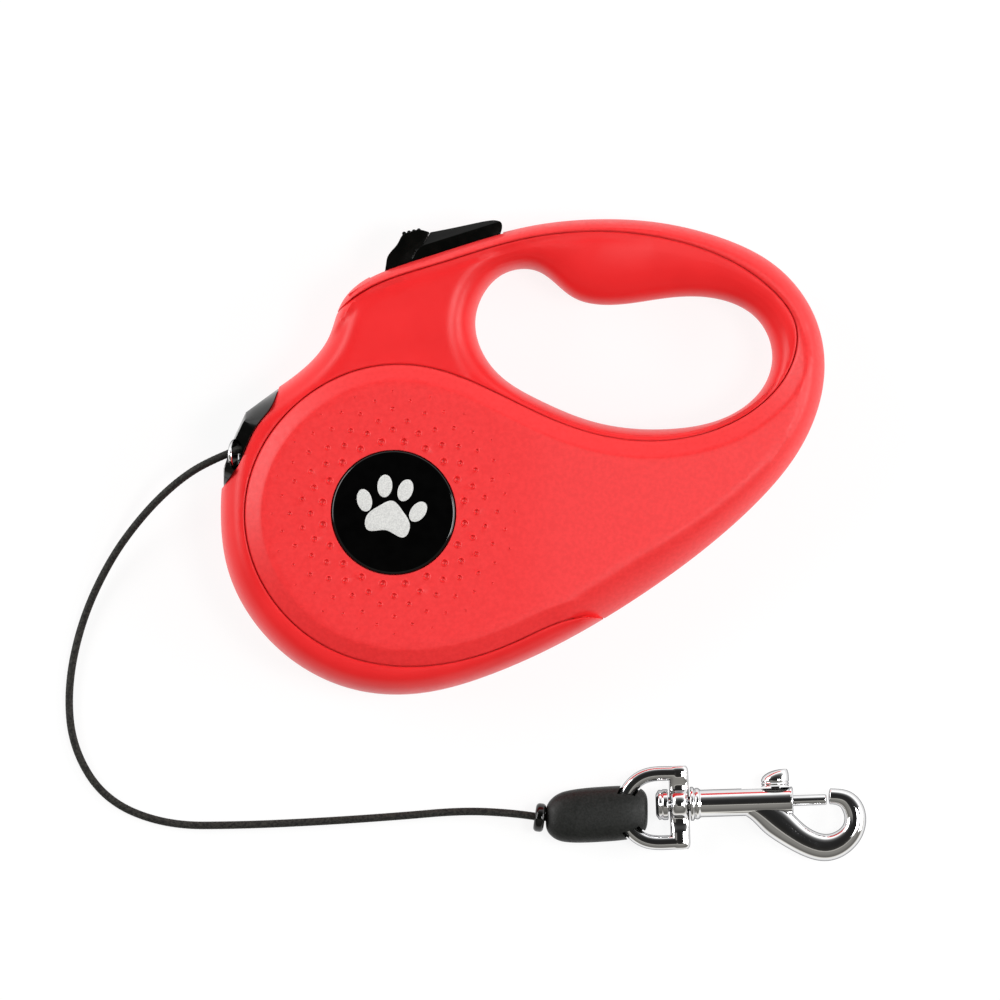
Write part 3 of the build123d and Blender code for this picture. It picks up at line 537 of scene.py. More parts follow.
def skin_object(name, plan, faces, heights, front):
    """A closed sheet of even thickness under one region's height field."""
    used = np.unique(faces)
    order = np.full(len(plan), -1)
    order[used] = np.arange(len(used))
    faces, plan, heights = order[faces], plan[used], heights[used]
    co = np.column_stack([plan, heights])
    inner = co - SKIN * vertex_normals(co, faces)
    on_parting = heights < 1e-4
    inner[:, 2] = np.where(on_parting, 0, np.maximum(inner[:, 2], 0.0))
    count = len(co)
    sides = np.vstack([faces[:, [0, 1]], faces[:, [1, 2]], faces[:, [2, 0]]])
    keys = {(a, b) for a, b in sides.tolist()}
    rim = [(a, b) for a, b in keys if (b, a) not in keys]
    all_faces = faces.tolist() + (faces[:, ::-1] + count).tolist()
    all_faces += [[b, a, a + count, b + count] for a, b in rim]
    whole = np.vstack([co, inner])
    whole[:, 2] += PARTING_GAP
    if front:
        whole[:, 2] = MID + whole[:, 2]
    else:
        whole[:, 2] = MID - whole[:, 2]
        all_faces = [f[::-1] for f in all_faces]
    return mesh_object(name, (whole * MM).tolist(), all_faces)


def mesh_object(name, co, faces):
    mesh = bpy.data.meshes.new(name)
    mesh.from_pydata(co, [], faces)
    mesh.update()
    return new_object(name, mesh)


def loft(name, rings, joined=False):
    """A closed mesh through rings of places, in millimetres. Its ends are capped, or joined to each other."""
    rings = np.asarray(rings)
    n, k, _ = rings.shape
    faces = []
    for i in range(n if joined else n - 1):
        here, there = i * k, (i + 1) % n * k
        for j in range(k):
            faces.append([here + j, here + (j + 1) % k, there + (j + 1) % k, there + j])
    if not joined:
        faces += [list(range(k))[::-1], [(n - 1) * k + j for j in range(k)]]
    mesh = bpy.data.meshes.new(name)
    mesh.from_pydata((rings.reshape(-1, 3) * MM).tolist(), [], faces)
    bm = bmesh.new()
    bm.from_mesh(mesh)
    bmesh.ops.remove_doubles(bm, verts=bm.verts, dist=1e-7)
    bmesh.ops.recalc_face_normals(bm, faces=bm.faces)
    bm.to_mesh(mesh)
    bm.free()
    return new_object(name, mesh)


def oval(half_width, half_height, power=2.0, count=48):
    """Points round a superellipse: power 2 is an ellipse, and more is nearer to a rectangle."""
    a = 2 * math.pi * (np.arange(count) + 0.5) / count
    c, s = np.cos(a), np.sin(a)
    x = half_width * np.sign(c) * np.abs(c) ** (2 / power)
    y = half_height * np.sign(s) * np.abs(s) ** (2 / power)
    return np.stack([x, y], 1)


def rod(name, stations, steps, power=2.0, round_ends=(0.0, 0.0)):
    """A bent rod: each station is (u, v, half width, half thickness), in the snap's frame."""
    line = smooth_line(stations, steps)
    along = lengths(line[:, :2])
    places = along
    for end, radius in zip((0, along[-1]), round_ends):
        if radius:
            near = radius * (1 - np.cos(np.linspace(0.12, math.pi / 2, 10)))
            places = np.concatenate([places[np.abs(places - end) > radius * 0.98], np.abs(end - near)])
    places = np.sort(places)
    line = np.column_stack([np.interp(places, along, line[:, i]) for i in range(4)])
    tangent = np.gradient(line[:, :2], places, axis=0)
    tangent /= np.linalg.norm(tangent, axis=1)[:, None]
    shrink = np.ones(len(places))
    for end, radius in zip((0, along[-1]), round_ends):
        if radius:
            shrink *= roll(np.abs(places - end), radius)
    rings = []
    for (u, v, a, b), (tu, tv), k in zip(line, tangent, shrink):
        section = oval(a * k, b * k, power)
        rings.append(np.column_stack([u - tv * section[:, 0], v + tu * section[:, 0], section[:, 1]]))
    return loft(name, rings)


def turned(name, profile, count=72):
    """A turned piece about the snap's axis, from (place along the axis, radius) points."""
    rings = []
    for u, r in profile:
        section = oval(max(r, 0.01), max(r, 0.01), 2.0, count)
        rings.append(np.column_stack([np.full(count, u), section]))
    return loft(name, rings)


def rounded(points, radius, closed=False, steps=5):
    """A polyline with its corners rounded. radius is one number, or one for each point."""
    p = [np.array(q, float) for q in points]
    radii = radius if isinstance(radius, (list, tuple)) else [radius] * len(p)
    out = [] if closed else [p[0]]
    rows = range(len(p)) if closed else range(1, len(p) - 1)
    for i in rows:
        before, corner, after = p[i - 1], p[i], p[(i + 1) % len(p)]
        back, on = before - corner, after - corner
        reach = min(radii[i], 0.49 * np.hypot(*back), 0.49 * np.hypot(*on))
        start, end = corner + back / np.hypot(*back) * reach, corner + on / np.hypot(*on) * reach
        for k in range(steps + 1):
            t = k / steps
            out.append((1 - t) ** 2 * start + 2 * t * (1 - t) * corner + t**2 * end)
    if not closed:
        out.append(p[-1])
    return [tuple(q) for q in out]


def to_snap(*objects):
    """Moves meshes made in the snap's own frame to the row frame."""
    place = Matrix.Translation(Vector(SNAP_ORIGIN) * MM) @ Matrix.Rotation(SNAP_TILT, 4, "Z")
    for obj in objects:
        obj.data.transform(place)
    return objects


def apply_modifiers(obj):
    bpy.context.view_layer.update()
    result = bpy.data.meshes.new_from_object(obj.evaluated_get(bpy.context.evaluated_depsgraph_get()))
    obj.modifiers.clear()
    old, obj.data = obj.data, result
    bpy.data.meshes.remove(old)


def cut(obj, *cutters, solver="EXACT"):
    """Takes the cutters out of a mesh."""
    combine(obj, cutters, "DIFFERENCE", solver)


def join(obj, *others):
    """Makes one mesh of several that overlap."""
    combine(obj, others, "UNION")


def combine(obj, others, operation, solver="EXACT"):
    for cutter in others:
        modifier = obj.modifiers.new("combine", "BOOLEAN")
        modifier.object = cutter
        modifier.operation = operation
        modifier.solver = solver
        apply_modifiers(obj)
        bpy.data.objects.remove(cutter)


def prism(name, outline, low, high):
    """A closed prism over an outline, in millimetres."""
    n = len(outline)
    co = [(x * MM, y * MM, z * MM) for z in (low, high) for x, y in outline]
    faces = [list(range(n))[::-1], [i + n for i in range(n)]]
    faces += [[i, (i + 1) % n, (i + 1) % n + n, i + n] for i in range(n)]
    return mesh_object(name, co, faces)


def rectangle(x0, y0, x1, y1):
    return [(x0, y0), (x1, y0), (x1, y1), (x0, y1)]


def arc(x, y, r, angles):
    return [(x + r * math.cos(a), y + r * math.sin(a)) for a in angles]


def circle(x, y, r, count=96):
    return arc(x, y, r, [2 * math.pi * i / count for i in range(count)])


def grown(outline, amount):
    """A polygon with each side moved outwards."""
    p = np.array(outline)
    before, after = p - np.roll(p, 1, 0), np.roll(p, -1, 0) - p
    out = []
    for q, a, b in zip(p, before, after):
        na = np.array([a[1], -a[0]]) / np.hypot(*a)
        nb = np.array([b[1], -b[0]]) / np.hypot(*b)
        out.append(tuple(q + amount * (na + nb) / (1 + na @ nb)))
    return out


POCKET_OUTSIDE = [(-31.9, 36.0), (-45.0, 32.0), (-54.0, 20.0), (-54.0, 12.0), (-48.6, 6.2)]
SLOT = [(-6.8, 58), (30.6, 68), (30.6, 90), (-6.8, 90)]
SLOT_HALF = 7.4


def make_skins():
    plan, faces = triangulate()
    to_outer = distance_to(plan, OUTER_LINE, True)
    to_opening = distance_to(plan, OPENING_LINE, True)
    to_seam = distance_to(plan, SEAM_LINE, False)
    centre = plan[faces].mean(1)
    solid = inside(centre, OUTER_LINE) & ~inside(centre, OPENING_LINE)
    solid &= distance_to(centre, SEAM_LINE, False) > SEAM_GAP * 0.97
    in_cover = inside(centre, COVER_POLYGON)
    lip = LIP_DROP * np.clip(1 - (to_seam - SEAM_GAP) / LIP_WIDTH, 0, 1) ** 2
    fields = (to_outer, to_opening, to_seam)
    shell_z = shell_height(plan, *fields)
    cover_z = cover_height(plan, *fields) + dimple_depth(plan)
    made = {}
    for part, region, z in (("shell", solid & ~in_cover, shell_z), ("cover", solid & in_cover, cover_z)):
        z = np.maximum(z - lip * np.clip(z / 2, 0, 1), 0)
        for side in ("front", "back"):
            made[side, part] = skin_object(f"{side}_{part}_skin", plan, faces[region], z, side == "front")
    inner = [tuple(q) for q in smooth_line(NOZZLE_INNER, 24)]
    nozzle = POCKET_OUTSIDE + grown(inner[::-1], 0.12)[1:-1]
    for side in ("front", "back"):
        cut(made[side, "shell"], prism("pocket", nozzle, -2, 40))
        for part in ("shell", "cover"):
            cut(made[side, part], prism("slot", SLOT, MID - SLOT_HALF, MID + SLOT_HALF))
        top = (COVER_HALF + MID - 1.15, 60) if side == "front" else (-20, 1.15)
        cut(made[side, "cover"], prism("recess", circle(0, 0, BADGE_RADIUS + 0.15), *top))
    for part, (radius, posts) in SCREW_HOLES.items():
        for x, y in posts:
            hole = prism("hole", circle(x, y, radius, 48), -5, MID - 1)
            cut(made["back", part], hole, solver="MANIFOLD")
    for (side, part), obj in made.items():
        finish_piece(obj, "housing", f"red_{part}", f"{side}_{part}")


def finish_piece(obj, body, slot, node=None, degrees=32, material=None):
    """Shades a piece, gives it the named material or else its slot's, hides the CAD node it stands for and
    says which body it rides on.
    """
    if degrees:
        obj.data.polygons.foreach_set("use_smooth", np.ones(len(obj.data.polygons), bool))
        obj.data.set_sharp_from_angle(angle=math.radians(degrees))
        obj.data.update()
    obj.data.materials.clear()
    obj.data.materials.append(MATERIALS[material or slot])
    if node:
        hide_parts(node)
    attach(obj, body)


# ---- cord ----
def spline_points(name, points):
    """The places along one smooth NURBS line with these control points."""
    curve = bpy.data.curves.new(name, "CURVE")
    curve.dimensions = "3D"
    spline = curve.splines.new("NURBS")
    spline.points.add(len(points) - 1)
    for point, place in zip(spline.points, points):
        point.co = (*place, 1)
    spline.order_u = 3
    spline.use_endpoint_u = True
    spline.resolution_u = 40
    obj = new_object(name, curve)
    bpy.context.view_layer.update()
    mesh = bpy.data.meshes.new_from_object(obj)
    found = np.array([v.co[:] for v in mesh.vertices])
    bpy.data.meshes.remove(mesh)
    bpy.data.objects.remove(obj)
    return found


def even_steps(line, step):
    along = lengths(line)
    places = np.linspace(0, along[-1], int(along[-1] / step) + 1)
    return np.column_stack([np.interp(places, along, line[:, i]) for i in range(3)]), places


BRAID_STRANDS = 8
BRAID_PITCH = 1.15 * MM
BRAID_STEP = 0.26 * MM
BRAID_SIDES = 40
BRAID_RELIEF = 0.10 * MM


def braid(angle, along):
    """Height of a round braid, from 0 to 1: two families of strands that go over and under each other."""
    a = BRAID_STRANDS * angle / (2 * math.pi) + along / BRAID_PITCH
    b = BRAID_STRANDS * angle / (2 * math.pi) - along / BRAID_PITCH
    one, two = np.sin(math.pi * (a % 1)) ** 0.7, np.sin(math.pi * (b % 1)) ** 0.7
    over = np.where((np.floor(a) + np.floor(b)) % 2 == 0, 1.0, -1.0)
    return 0.5 * (one + two) + 0.28 * over * (one - two)


def tube_rings(line, along, radius):
    """Rings of points round a line. radius is a function of the angle and the place along it."""
    tangents = np.gradient(line, axis=0)
    tangents /= np.linalg.norm(tangents, axis=1)[:, None]
    angles = 2 * math.pi * np.arange(BRAID_SIDES) / BRAID_SIDES
    side = np.cross(tangents[0], (0, 0, 1.0))
    rings = []
    for place, tangent, s in zip(line, tangents, along):
        side = side - tangent * (side @ tangent)
        side /= np.linalg.norm(side)
        up = np.cross(tangent, side)
        r = radius(angles, s)[:, None]
        rings.append(place + r * (np.cos(angles)[:, None] * side + np.sin(angles)[:, None] * up))
    return rings


def make_cord():
    line, along = even_steps(spline_points("route", CORD_ROUTE), BRAID_STEP)
    base = CORD_DIAMETER / 2 * MM - BRAID_RELIEF
    rings = tube_rings(line, along, lambda angle, s: base + BRAID_RELIEF * braid(angle, s))
    cord = loft("braided_cord", np.array(rings) / MM)
    finish_piece(cord, "housing", "cord_braid", "cord_free", 60)
    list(make_boot_and_ring())


# ---- liner under the joint between cover and shell ----
LINER_HALF_WIDTH = 1.5
LINER_TOP = 0.9  # below the surface
LINER_DEPTH = 1.2


def make_liners():
    """A strip that closes each joint from below, as the shell's rebate does."""
    to_outer = distance_to(SEAM_LINE, OUTER_LINE, True)
    to_opening = distance_to(SEAM_LINE, OPENING_LINE, True)
    fields = (SEAM_LINE, to_outer, to_opening, np.zeros(len(SEAM_LINE)))
    height = np.minimum(shell_height(*fields), cover_height(*fields)) - LINER_TOP
    normals = left_normals(SEAM_LINE, False)
    keep = (height > LINER_DEPTH + 0.3) & (to_outer > LINER_HALF_WIDTH + 0.2) & inside(SEAM_LINE, OUTER_LINE)
    for side in (1, -1):
        rings = []
        for (x, y), (nx, ny), h in zip(SEAM_LINE[keep][::2], normals[keep][::2], height[keep][::2]):
            ring = []
            for across, drop in ((1, 0), (-1, 0), (-1, LINER_DEPTH), (1, LINER_DEPTH)):
                shift = across * LINER_HALF_WIDTH
                ring.append((x + nx * shift, y + ny * shift, MID + side * (h - drop)))
            rings.append(ring)
        liner = loft("front_joint_liner" if side > 0 else "back_joint_liner", rings)
        finish_piece(liner, "housing", "red_shell", degrees=None, material="joint_red")


# ---- badge ----
BADGE_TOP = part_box("front_badge")[1].z / MM - 0.06
BADGE_DROP = 0.55  # of the dome, from its middle to its rounded edge
PAW_PLACE, PAW_TURN, PAW_SCALE = (-0.9, 0.5), math.radians(-12), 1.5
PAW_PAD = [
    (0.0, 1.9), (2.2, 0.5), (4.2, -2.3), (3.5, -4.3), (1.6, -4.1), (0.0, -3.7),
    (-1.6, -4.1), (-3.5, -4.3), (-4.2, -2.3), (-2.2, 0.5),
]
PAW_TOES = [(-5.1, 0.9, 25), (-1.95, 4.3, 8), (1.95, 4.3, -8), (5.1, 0.9, -25)]  # x, y, turn
PAW_TOE_SIZE = (1.38, 2.1)
PAW_EDGE = [  # share of the outline, lift
    (0.02, -0.2), (1.0, -0.2), (1.0, 0.03), (0.985, 0.045), (0.6, 0.045), (0.02, 0.045),
]


def dome(r):
    """Height of the badge's face at a radius."""
    edge = 0.8
    flat = BADGE_TOP - BADGE_DROP * (r / BADGE_RADIUS) ** 2
    return flat - edge * (1 - roll(BADGE_RADIUS - r, edge))


def turning(angle):
    return np.array([[math.cos(angle), math.sin(angle)], [-math.sin(angle), math.cos(angle)]])


def make_badge():
    radii = [0.4, 2, 4, 6, 8, 10, 12, 14, 15.5, 16.3] + [BADGE_RADIUS - d for d in
                                                       (0.8, 0.65, 0.5, 0.38, 0.27, 0.17, 0.09, 0.03, 0.0)]
    levels = [(0.4, BADGE_TOP - 1.4), (BADGE_RADIUS, BADGE_TOP - 1.4)]
    levels += [(r, float(dome(np.float64(r)))) for r in radii[::-1]]
    rings = [np.column_stack([oval(r, r, 2, 128), np.full(128, height)]) for r, height in levels]
    badge = loft("front_badge_dome", rings)
    finish_piece(badge, "housing", "badge_gloss", "front_badge", 40)
    shapes = [("paw_pad", smooth_line(PAW_PAD, 72, True))]
    for i, (x, y, turn) in enumerate(PAW_TOES):
        toe = oval(*PAW_TOE_SIZE, 2.0, 48)
        shapes.append((f"paw_toe_{i + 1}", toe @ turning(math.radians(turn)) + (x, y)))
    for name, shape in shapes:
        shape = PAW_SCALE * shape @ turning(PAW_TURN) + PAW_PLACE
        middle = shape.mean(0)
        rings = []
        for share, lift in PAW_EDGE:
            ring = middle + share * (shape - middle)
            rings.append(np.column_stack([ring, dome(np.hypot(*ring.T)) + lift]))
        piece = loft(name, rings)
        finish_piece(piece, "housing", "steel", material="silver_print")


# ---- cord outlet ----
NOZZLE_FACET = [(0.0, 6.2), (0.05, 7.2), (0.30, 9.3), (0.60, 11.6), (0.94, 13.35)]  # share inwards, height
NOZZLE_FACE = [(0.0, 6.2), (0.05, 10.2), (0.14, 12.75), (0.60, 13.25), (0.94, 13.50)]
NOZZLE_STEPS = (9, 8, 6, 5)  # between one corner of its outer edge and the next
EYELET_CENTRE, EYELET_LEAN = (-44.4, 16.2, 21.3), math.radians(-9.2)
EYELET_SIZE, EYELET_WIRE = (3.75, 7.9), 0.6
MOUTH_BACK, MOUTH_LENGTH, MOUTH_ROOM = 0.6, 12.0, 0.35
WELL, WELL_SIZE, WELL_FLOOR = (-44.1, 16.2), (1.95, 4.35), 14.6  # lets the eyelet be seen from above


def leaning(outline, forward):
    """A closed outline in the eyelet's plane, moved forward out of it."""
    c, s = math.cos(EYELET_LEAN), math.sin(EYELET_LEAN)
    y, up = np.asarray(outline).T
    x0, y0, z0 = EYELET_CENTRE
    return np.column_stack([x0 + s * up - c * forward, y0 + y, z0 + c * up + s * forward])


def make_nozzle():
    """A faceted block let into the housing's edge, and the polished eyelet that leans in its mouth."""
    outer = []
    for a, b, n in zip(NOZZLE_OUTER, NOZZLE_OUTER[1:], NOZZLE_STEPS):
        outer += [np.array(a) + (np.array(b) - a) * i / n for i in range(n)]
    outer = np.array(outer + [np.array(NOZZLE_OUTER[-1])])
    inner = smooth_line(NOZZLE_INNER, len(outer) - 1)
    inner[0] += (0.5, -0.3)
    inner[-1] += (0.5, -0.2)
    share = np.linspace(0, 1, len(outer))
    ends = 0.42 + 0.58 * np.clip(np.minimum(share, 1 - share) / 0.16, 0, 1) ** 0.6
    rings = []
    for row, (o, i, e) in enumerate(zip(outer, inner, ends)):
        turn = float(smooth_step((row - NOZZLE_STEPS[0] + 0.5) / 3))
        levels = np.array(NOZZLE_FACET) * (1 - turn) + np.array(NOZZLE_FACE) * turn
        top = [(*(o + f * (i - o)), MID + h * e) for f, h in levels]
        deep = i + (i - o) * 0.02 + (0.4, -0.3)
        top += [(*(o + 1.0 * (i - o)), MID + 13.0 * e), (*deep, MID + 9 * e)]
        rings.append(top + [(x, y, 2 * MID - z) for x, y, z in top[::-1]])
    nozzle = loft("outlet_nozzle", rings)
    a, b = (size + EYELET_WIRE + MOUTH_ROOM for size in EYELET_SIZE)
    cut(nozzle, loft("mouth", [leaning(oval(a, b, 2, 64), d) for d in (-MOUTH_BACK, MOUTH_LENGTH)]))
    well = [(x + WELL[0], y + WELL[1]) for x, y in oval(*WELL_SIZE, 2, 64)]
    cut(nozzle, prism("well", well, WELL_FLOOR, MID + 30))
    start, after = (np.array(q) / MM for q in CORD_ROUTE[:2])
    along = (after - start) / np.linalg.norm(after - start)
    cut(nozzle, pipe("cord_bore", start - along * 8, start + along * 9, 1.55))
    finish_piece(nozzle, "housing", "black_gloss", "cord_nozzle", 24)
    rings = []
    for dx, dy in oval(EYELET_WIRE, EYELET_WIRE, 2, 16):
        rings.append(leaning(oval(EYELET_SIZE[0] + dx, EYELET_SIZE[1] + dx, 2, 72), dy))
    eyelet = loft("eyelet_ring", rings, True)
    finish_piece(eyelet, "housing", "chrome", "nozzle_eyelet", 60)


def pipe(name, start, end, radius, count=48):
    """A round bar between two places, in millimetres."""
    along = Vector(end) - Vector(start)
    turn = along.to_track_quat("Z", "Y").to_matrix()
    rings = []
    for share in (0, 1):
        section = oval(radius, radius, 2, count)
        rings.append([tuple(turn @ Vector((*q, along.length * share)) + Vector(start)) for q in section])
    return loft(name, rings)


# ---- thumb button and lock ----
DIVIDER = [(10.1, 78.35), (9.25, 76.4), (8.5, 75.1), (6.9, 74.0), (5.75, 71.9), (5.05, 70.4), (4.9, 69.9)]
DIVIDER_GAP = 0.16
BUTTON_PLAN = [
    (-1.7, 63.4), (1.4, 62.5), (19.6, 66.4), (25.2, 67.4), (28.4, 73.6), (29.9, 78.2), (30.4, 79.8),
    (30.1, 81.3), (28.2, 81.8), (25.6, 81.5), (20.4, 80.4), (15.7, 79.4),
    *[(x + DIVIDER_GAP / 2, y) for x, y in DIVIDER], (-1.9, 67.1),
]
BUTTON_CORNERS = [1, 1, 1, 1, 1, 1, 1.2, 1.6, 1.2, 2, 2, 2, 0.3, 0.8, 0.8, 0.8, 0.8, 0.8, 0.2, 0.4]
BUTTON_PIVOT, BUTTON_HUB, PIN_HOLE, BUTTON_FOOT = (22.5, 69.5), 3.4, 1.56, (0.0, 63.6, 1.9)
LOCK_PLAN = [
    (-2.5, 67.3), (-1.9, 71.4), (-0.9, 72.9), (1.0, 74.9), (2.3, 77.7), (4.4, 78.5), (6.9, 79.2), (8.4, 78.9),
    *[(x - DIVIDER_GAP / 2, y) for x, y in DIVIDER],
]
LOCK_CORNERS = [0.3, 1.2, 1.5, 2.0, 1.0, 1.5, 1.2, 1.2, 0.3, 0.8, 0.8, 0.8, 0.8, 0.8, 0.2]
TONGUE_REACH, TONGUE_HALF, TONGUE_ROOM = 0.9, 4.0, 0.3
SLIDE = np.array((-0.932, -0.362))  # the lock's own way over the button
LOCK_RIBS = [(2.9 + 1.37 * i, 78.0 + 0.3 * i) for i in range(4)]
LOCK_RIB_RADIUS = 0.6
THUMB_EDGE = 0.7


def bevel(obj, width, segments=4, degrees=35):
    modifier = obj.modifiers.new("bevel", "BEVEL")
    modifier.width = width * MM
    modifier.segments = segments
    modifier.limit_method = "ANGLE"
    modifier.angle_limit = math.radians(degrees)
    modifier.use_clamp_overlap = True
    apply_modifiers(obj)


def slice_off(obj, place, normal):
    """Cuts a mesh at a plane, takes away the normal's side and closes it again."""
    bm = bmesh.new()
    bm.from_mesh(obj.data)
    geometry = bm.verts[:] + bm.edges[:] + bm.faces[:]
    made = bmesh.ops.bisect_plane(bm, geom=geometry, plane_co=Vector(place) * MM, plane_no=Vector(normal),
                                  clear_outer=True)
    edges = [e for e in made["geom_cut"] if isinstance(e, bmesh.types.BMEdge)]
    bmesh.ops.contextual_create(bm, geom=edges)
    bmesh.ops.recalc_face_normals(bm, faces=bm.faces)
    bm.to_mesh(obj.data)
    bm.free()


def tongue(name, reach, half):
    """Under the divider: what keeps the lock on its track."""
    edge = np.array([(9.75, 77.6), *DIVIDER[1:-1]])
    outline = np.vstack([edge + (1.2, 0), (edge + SLIDE * reach)[::-1]])
    return prism(name, [tuple(q) for q in outline], MID - half, MID + half)


def make_button():
    low, high = (corner.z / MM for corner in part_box("brake_button"))
    button = prism("thumb_button", rounded(BUTTON_PLAN, BUTTON_CORNERS, True, 6), low, high)
    # The wing's upper corner slopes away on both faces, from the divider to the nose.
    a, b = np.array((8.2, 74.6, high)), np.array((26.0, 80.2, high))
    down = np.array((9.0, 79.5, high - 1.7))
    normal = np.cross(b - a, down - a)
    normal *= np.sign(normal[2])
    slice_off(button, a, normal)
    slice_off(button, (*a[:2], low), (normal[0], normal[1], -normal[2]))
    bevel(button, THUMB_EDGE)
    for name, place in (("hub", (*BUTTON_PIVOT, BUTTON_HUB)), ("foot", BUTTON_FOOT)):
        join(button, prism(name, circle(*place), low + 0.2, high - 0.2))
    join(button, tongue("tongue", TONGUE_REACH, TONGUE_HALF))
    cut(button, prism("pin_hole", circle(*BUTTON_PIVOT, PIN_HOLE), low - 1, high + 1))
    finish_piece(button, "button", "black_gloss", "brake_button", 28)

    low, high = (corner.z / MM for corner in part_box("lock_slider"))
    lock = prism("lock_nose", rounded(LOCK_PLAN, LOCK_CORNERS, True, 5), low, high)
    bevel(lock, THUMB_EDGE)
    cut(lock, tongue("groove", TONGUE_REACH + TONGUE_ROOM, TONGUE_HALF + TONGUE_ROOM))
    for x, y in LOCK_RIBS:
        rib = prism("rib", circle(x, y, LOCK_RIB_RADIUS, 24), low + 0.9, high - 0.9)
        bevel(rib, 0.25, 3)
        join(lock, rib)
    finish_piece(lock, "lock", "black_gloss", "lock_slider", 28)


# ---- boot, snap ring, hook and bolt ----
BOOT_PROFILE = [  # x, half width
    (42.55, 0.3), (42.6, 2.3), (42.95, 3.6), (44.1, 5.2), (46.2, 6.6), (49.0, 7.3), (53.0, 7.65),
    (58.0, 7.75), (63.0, 7.7), (67.0, 7.3), (69.4, 6.4), (70.7, 4.9), (71.15, 2.8), (71.2, 0.3),
]
BOOT_MIDDLE = ((42.55, 71.2), (-85.75, -83.9))  # y of the middle, from one x to the other
BOOT_FLATNESS = 0.64
RING_CENTRE = (-6.1, -0.95)
RING_MIDDLE, RING_WIRE = 9.68, (2.05, 2.08)
RING_ROOM = 0.4
RING_SWING_ROOM = 1.45
RING_BAR = (-12.6, 10.75)
BAR_HALF = 2.75
STEM = 2.0
BARREL = 3.85
HOOK_STATIONS = [  # u, v, half width, half thickness
    (17.5, 0.2, 3.0, 2.8), (21.5, -1.7, 3.5, 3.0), (26.3, -4.9, 4.6, 3.3), (30.9, -8.8, 4.25, 3.4),
    (35.9, -12.1, 3.85, 3.35), (41.1, -13.45, 3.8, 3.25), (45.8, -11.8, 3.45, 3.15), (48.5, -8.8, 3.15, 3.05),
    (49.3, -5.6, 3.05, 3.0), (48.6, -2.4, 2.95, 2.9), (46.9, -0.3, 2.65, 2.65), (44.5, 0.65, 2.3, 2.35),
    (42.0, 0.9, 2.2, 2.2),
]
TURNED_HOOK = [
    (-6.6, 0.0), (-6.6, 2.9), (-5.7, 4.3), (-4.9, 4.05), (-4.5, 4.35), (-3.1, 4.35), (-3.1, STEM),
    (3.1, STEM), (3.1, 4.75), (4.0, 4.8), (4.35, 4.15), (4.75, 4.45), (5.5, 4.4), (5.9, BARREL),
    (31.2, BARREL), (31.6, 4.0), (32.0, 3.6), (32.0, 0.0),
]
TURNED_BOLT = [(23.0, 0.0), (23.0, 2.38), (30.8, 2.38), (30.8, 1.5), (41.1, 1.5), (41.4, 1.1), (41.4, 0.0)]
SLOT_U, SLOT_HALF_WIDTH = (17.6, 28.6), 1.35
KNOB_U, KNOB_HALF = 27.1, (3.9, 3.6)
KNOB_FOOT, KNOB_SHOULDER, KNOB_TOP = 4.15, 5.7, 9.0
EYE_PLACE = 33.2


def wire_stations(radius, half_width, half_height):
    """Along the snap ring's wire, from one end of its bar round to the other."""
    u, v = RING_CENTRE
    found = [(1.0, v + radius), (-2.5, v + radius), *arc(u, v, radius, map(math.radians, range(90, 271, 20))),
             (-2.5, v - radius), (1.0, v - radius)]
    return [(*q, half_width, half_height) for q in found]


def ring_room(past):
    """The way through the boot that the ring and its swing take, with room all round."""
    wire, (u, v) = RING_WIRE[0] + RING_ROOM, RING_CENTRE
    outline = []
    sides = (RING_MIDDLE + wire, range(90, 271, 6)), (RING_MIDDLE - wire, range(270, 89, -6))
    for radius, degrees in sides:
        bend = arc(u, v, radius, map(math.radians, degrees))
        outline += [(2.0, bend[0][1]), *bend, (2.0, bend[-1][1])]
    return prism("ring_room", outline, -RING_WIRE[1] - RING_ROOM, RING_WIRE[1] + RING_ROOM + past)


def make_boot_and_ring():
    rings = []
    for x, half in smooth_line(BOOT_PROFILE, 110):
        y = float(np.interp(x, *BOOT_MIDDLE))
        section = oval(max(half, 0.05), max(half, 0.05) * BOOT_FLATNESS, 2.5, 64)
        rings.append(np.column_stack([np.full(64, x), y + section[:, 0], SNAP_ORIGIN[2] + section[:, 1]]))
    boot = loft("rubber_boot", rings)
    room = ring_room(RING_SWING_ROOM)
    to_snap(room)
    cut(boot, room)
    cut(boot, pipe("cord_way", np.array(CORD_ROUTE[-3]) / MM, np.array(CORD_ROUTE[-1]) / MM, 1.3))
    finish_piece(boot, "housing", "boot_rubber", "cord_boot", 40)

    ring = rod("snap_ring_cast", wire_stations(RING_MIDDLE, *RING_WIRE), 150, 2.5)
    low, high = RING_BAR
    places = np.concatenate([low + 1.8 * (1 - np.cos(np.linspace(0.1, math.pi / 2, 10))),
                             np.linspace(low + 2, high - 2, 90),
                             high - 1.8 * (1 - np.cos(np.linspace(math.pi / 2, 0.1, 10)))])
    rings = []
    for v in places:
        knuckle = math.sqrt(max(0.0, 4.05**2 - v**2))
        waist = 1.55 + 0.6 * float(smooth_step((abs(v) - 5.0) / 3.0))
        thick = -float(smooth_min(np.float64(-knuckle), np.float64(-waist), 1.2))
        shrink = float(roll(min(v - low, high - v), 1.8))
        section = oval(BAR_HALF * (0.70 + 0.30 * shrink), thick * (0.5 + 0.5 * shrink), 2.7, 64)
        rings.append(np.column_stack([section[:, 0] + 0.05, np.full(64, v), section[:, 1]]))
    join(ring, loft("bar", rings))
    cut(ring, turned("stem_hole", [(-4, STEM + 0.1), (4, STEM + 0.1)]))
    to_snap(ring)
    finish_piece(ring, "ring", "chrome", "snap_ring", 30)
    return boot, ring


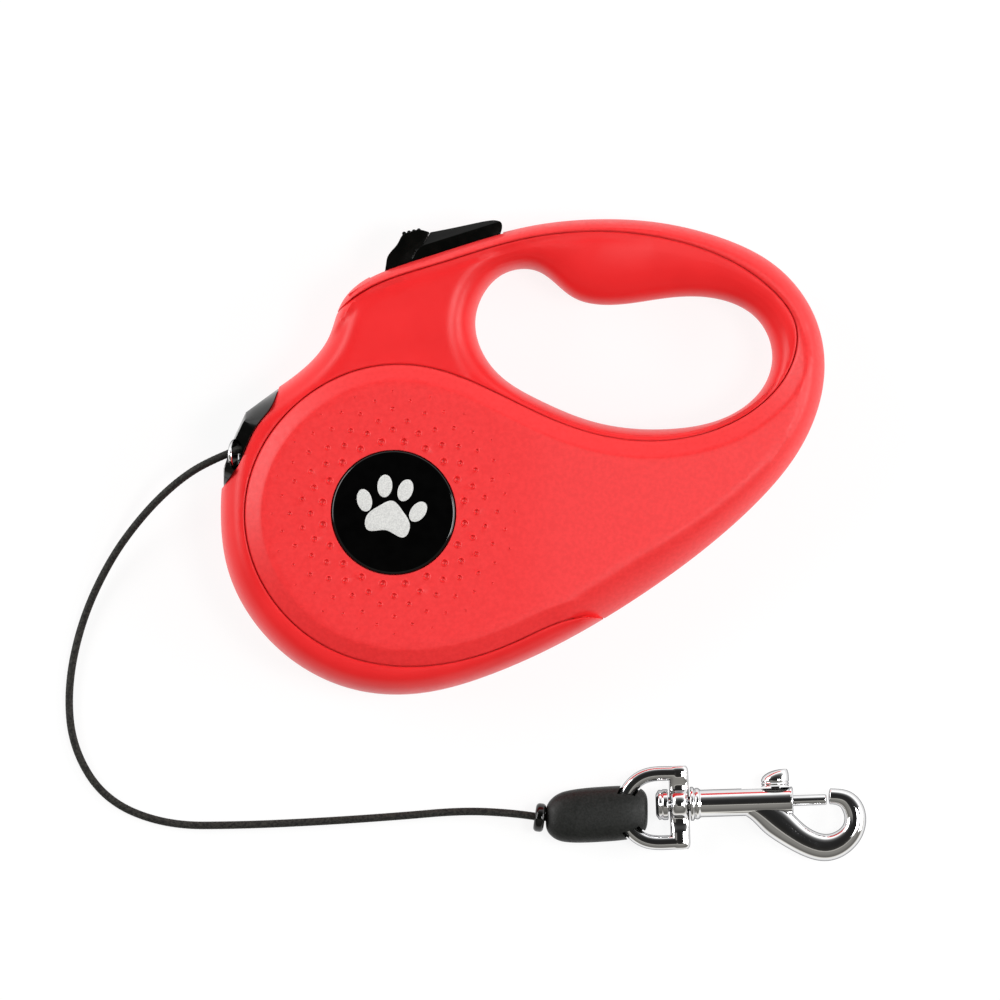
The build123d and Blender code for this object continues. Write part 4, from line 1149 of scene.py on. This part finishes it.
def make_hook():
    hook = turned("snap_hook_cast", rounded(TURNED_HOOK, 0.35))
    join(hook, rod("curl", HOOK_STATIONS, 150, 2.4, (0.0, 0.5)))
    cut(hook, turned("bore", [(8, 2.45), (31, 2.45)]), turned("bolt_hole", [(30, 1.6), (EYE_PLACE, 1.6)]))
    low, high = SLOT_U
    slot = rectangle(low, 0.5, high, 8)
    cut(hook, prism("slot", slot, -SLOT_HALF_WIDTH, SLOT_HALF_WIDTH))
    to_snap(hook)
    finish_piece(hook, "hook", "chrome", "snap_hook", 30)

    bolt = turned("snap_bolt_turned", rounded(TURNED_BOLT, 0.2))
    rings = []
    head = KNOB_SHOULDER + (KNOB_TOP - KNOB_SHOULDER) * np.sin(np.linspace(0.06, 1.5, 22))
    for v in np.concatenate([np.linspace(KNOB_FOOT, KNOB_SHOULDER, 14), head]):
        groove = 0.0
        if v < KNOB_SHOULDER:
            groove = 0.22 * (0.5 - 0.5 * math.cos(2 * math.pi * (v - KNOB_FOOT) / 0.78))
        rise = max(0.0, (v - KNOB_SHOULDER) / (KNOB_TOP - KNOB_SHOULDER))
        shrink = math.sqrt(max(0.0, 1 - rise**2))
        right = KNOB_U + KNOB_HALF[0] - groove - 0.5 * rise**4
        left = KNOB_U - KNOB_HALF[0] + groove + 2 * (KNOB_HALF[0] - groove) * (1 - shrink) * 0.86
        section = oval((right - left) / 2, (KNOB_HALF[1] - groove) * (0.35 + 0.65 * shrink), 2.3, 56)
        rings.append(np.column_stack([(right + left) / 2 + section[:, 0], np.full(56, v), section[:, 1]]))
    join(bolt, loft("knob", rings))
    stem = rectangle(KNOB_U - 1.15, 1.0, KNOB_U + 1.15, KNOB_FOOT + 0.5)
    join(bolt, prism("knob_stem", stem, -1.1, 1.1))
    to_snap(bolt)
    finish_piece(bolt, "bolt", "chrome", "snap_bolt", 30)


# ---- everything ----
MATERIALS = make_materials()
bpy.context.scene.view_settings.view_transform = "Standard"
make_camera()
make_cord()
make_world()
make_stage()
make_skins()
make_liners()
make_badge()
make_nozzle()
make_button()
make_hook()
NODE_SLOTS = {part["node"]: part["material_slot"] for part in frame["record"]["subparts"]}
for node, obj in frame["nodes"].items():
    obj.data.materials.clear()
    obj.data.materials.append(MATERIALS[NODE_SLOTS[node]])
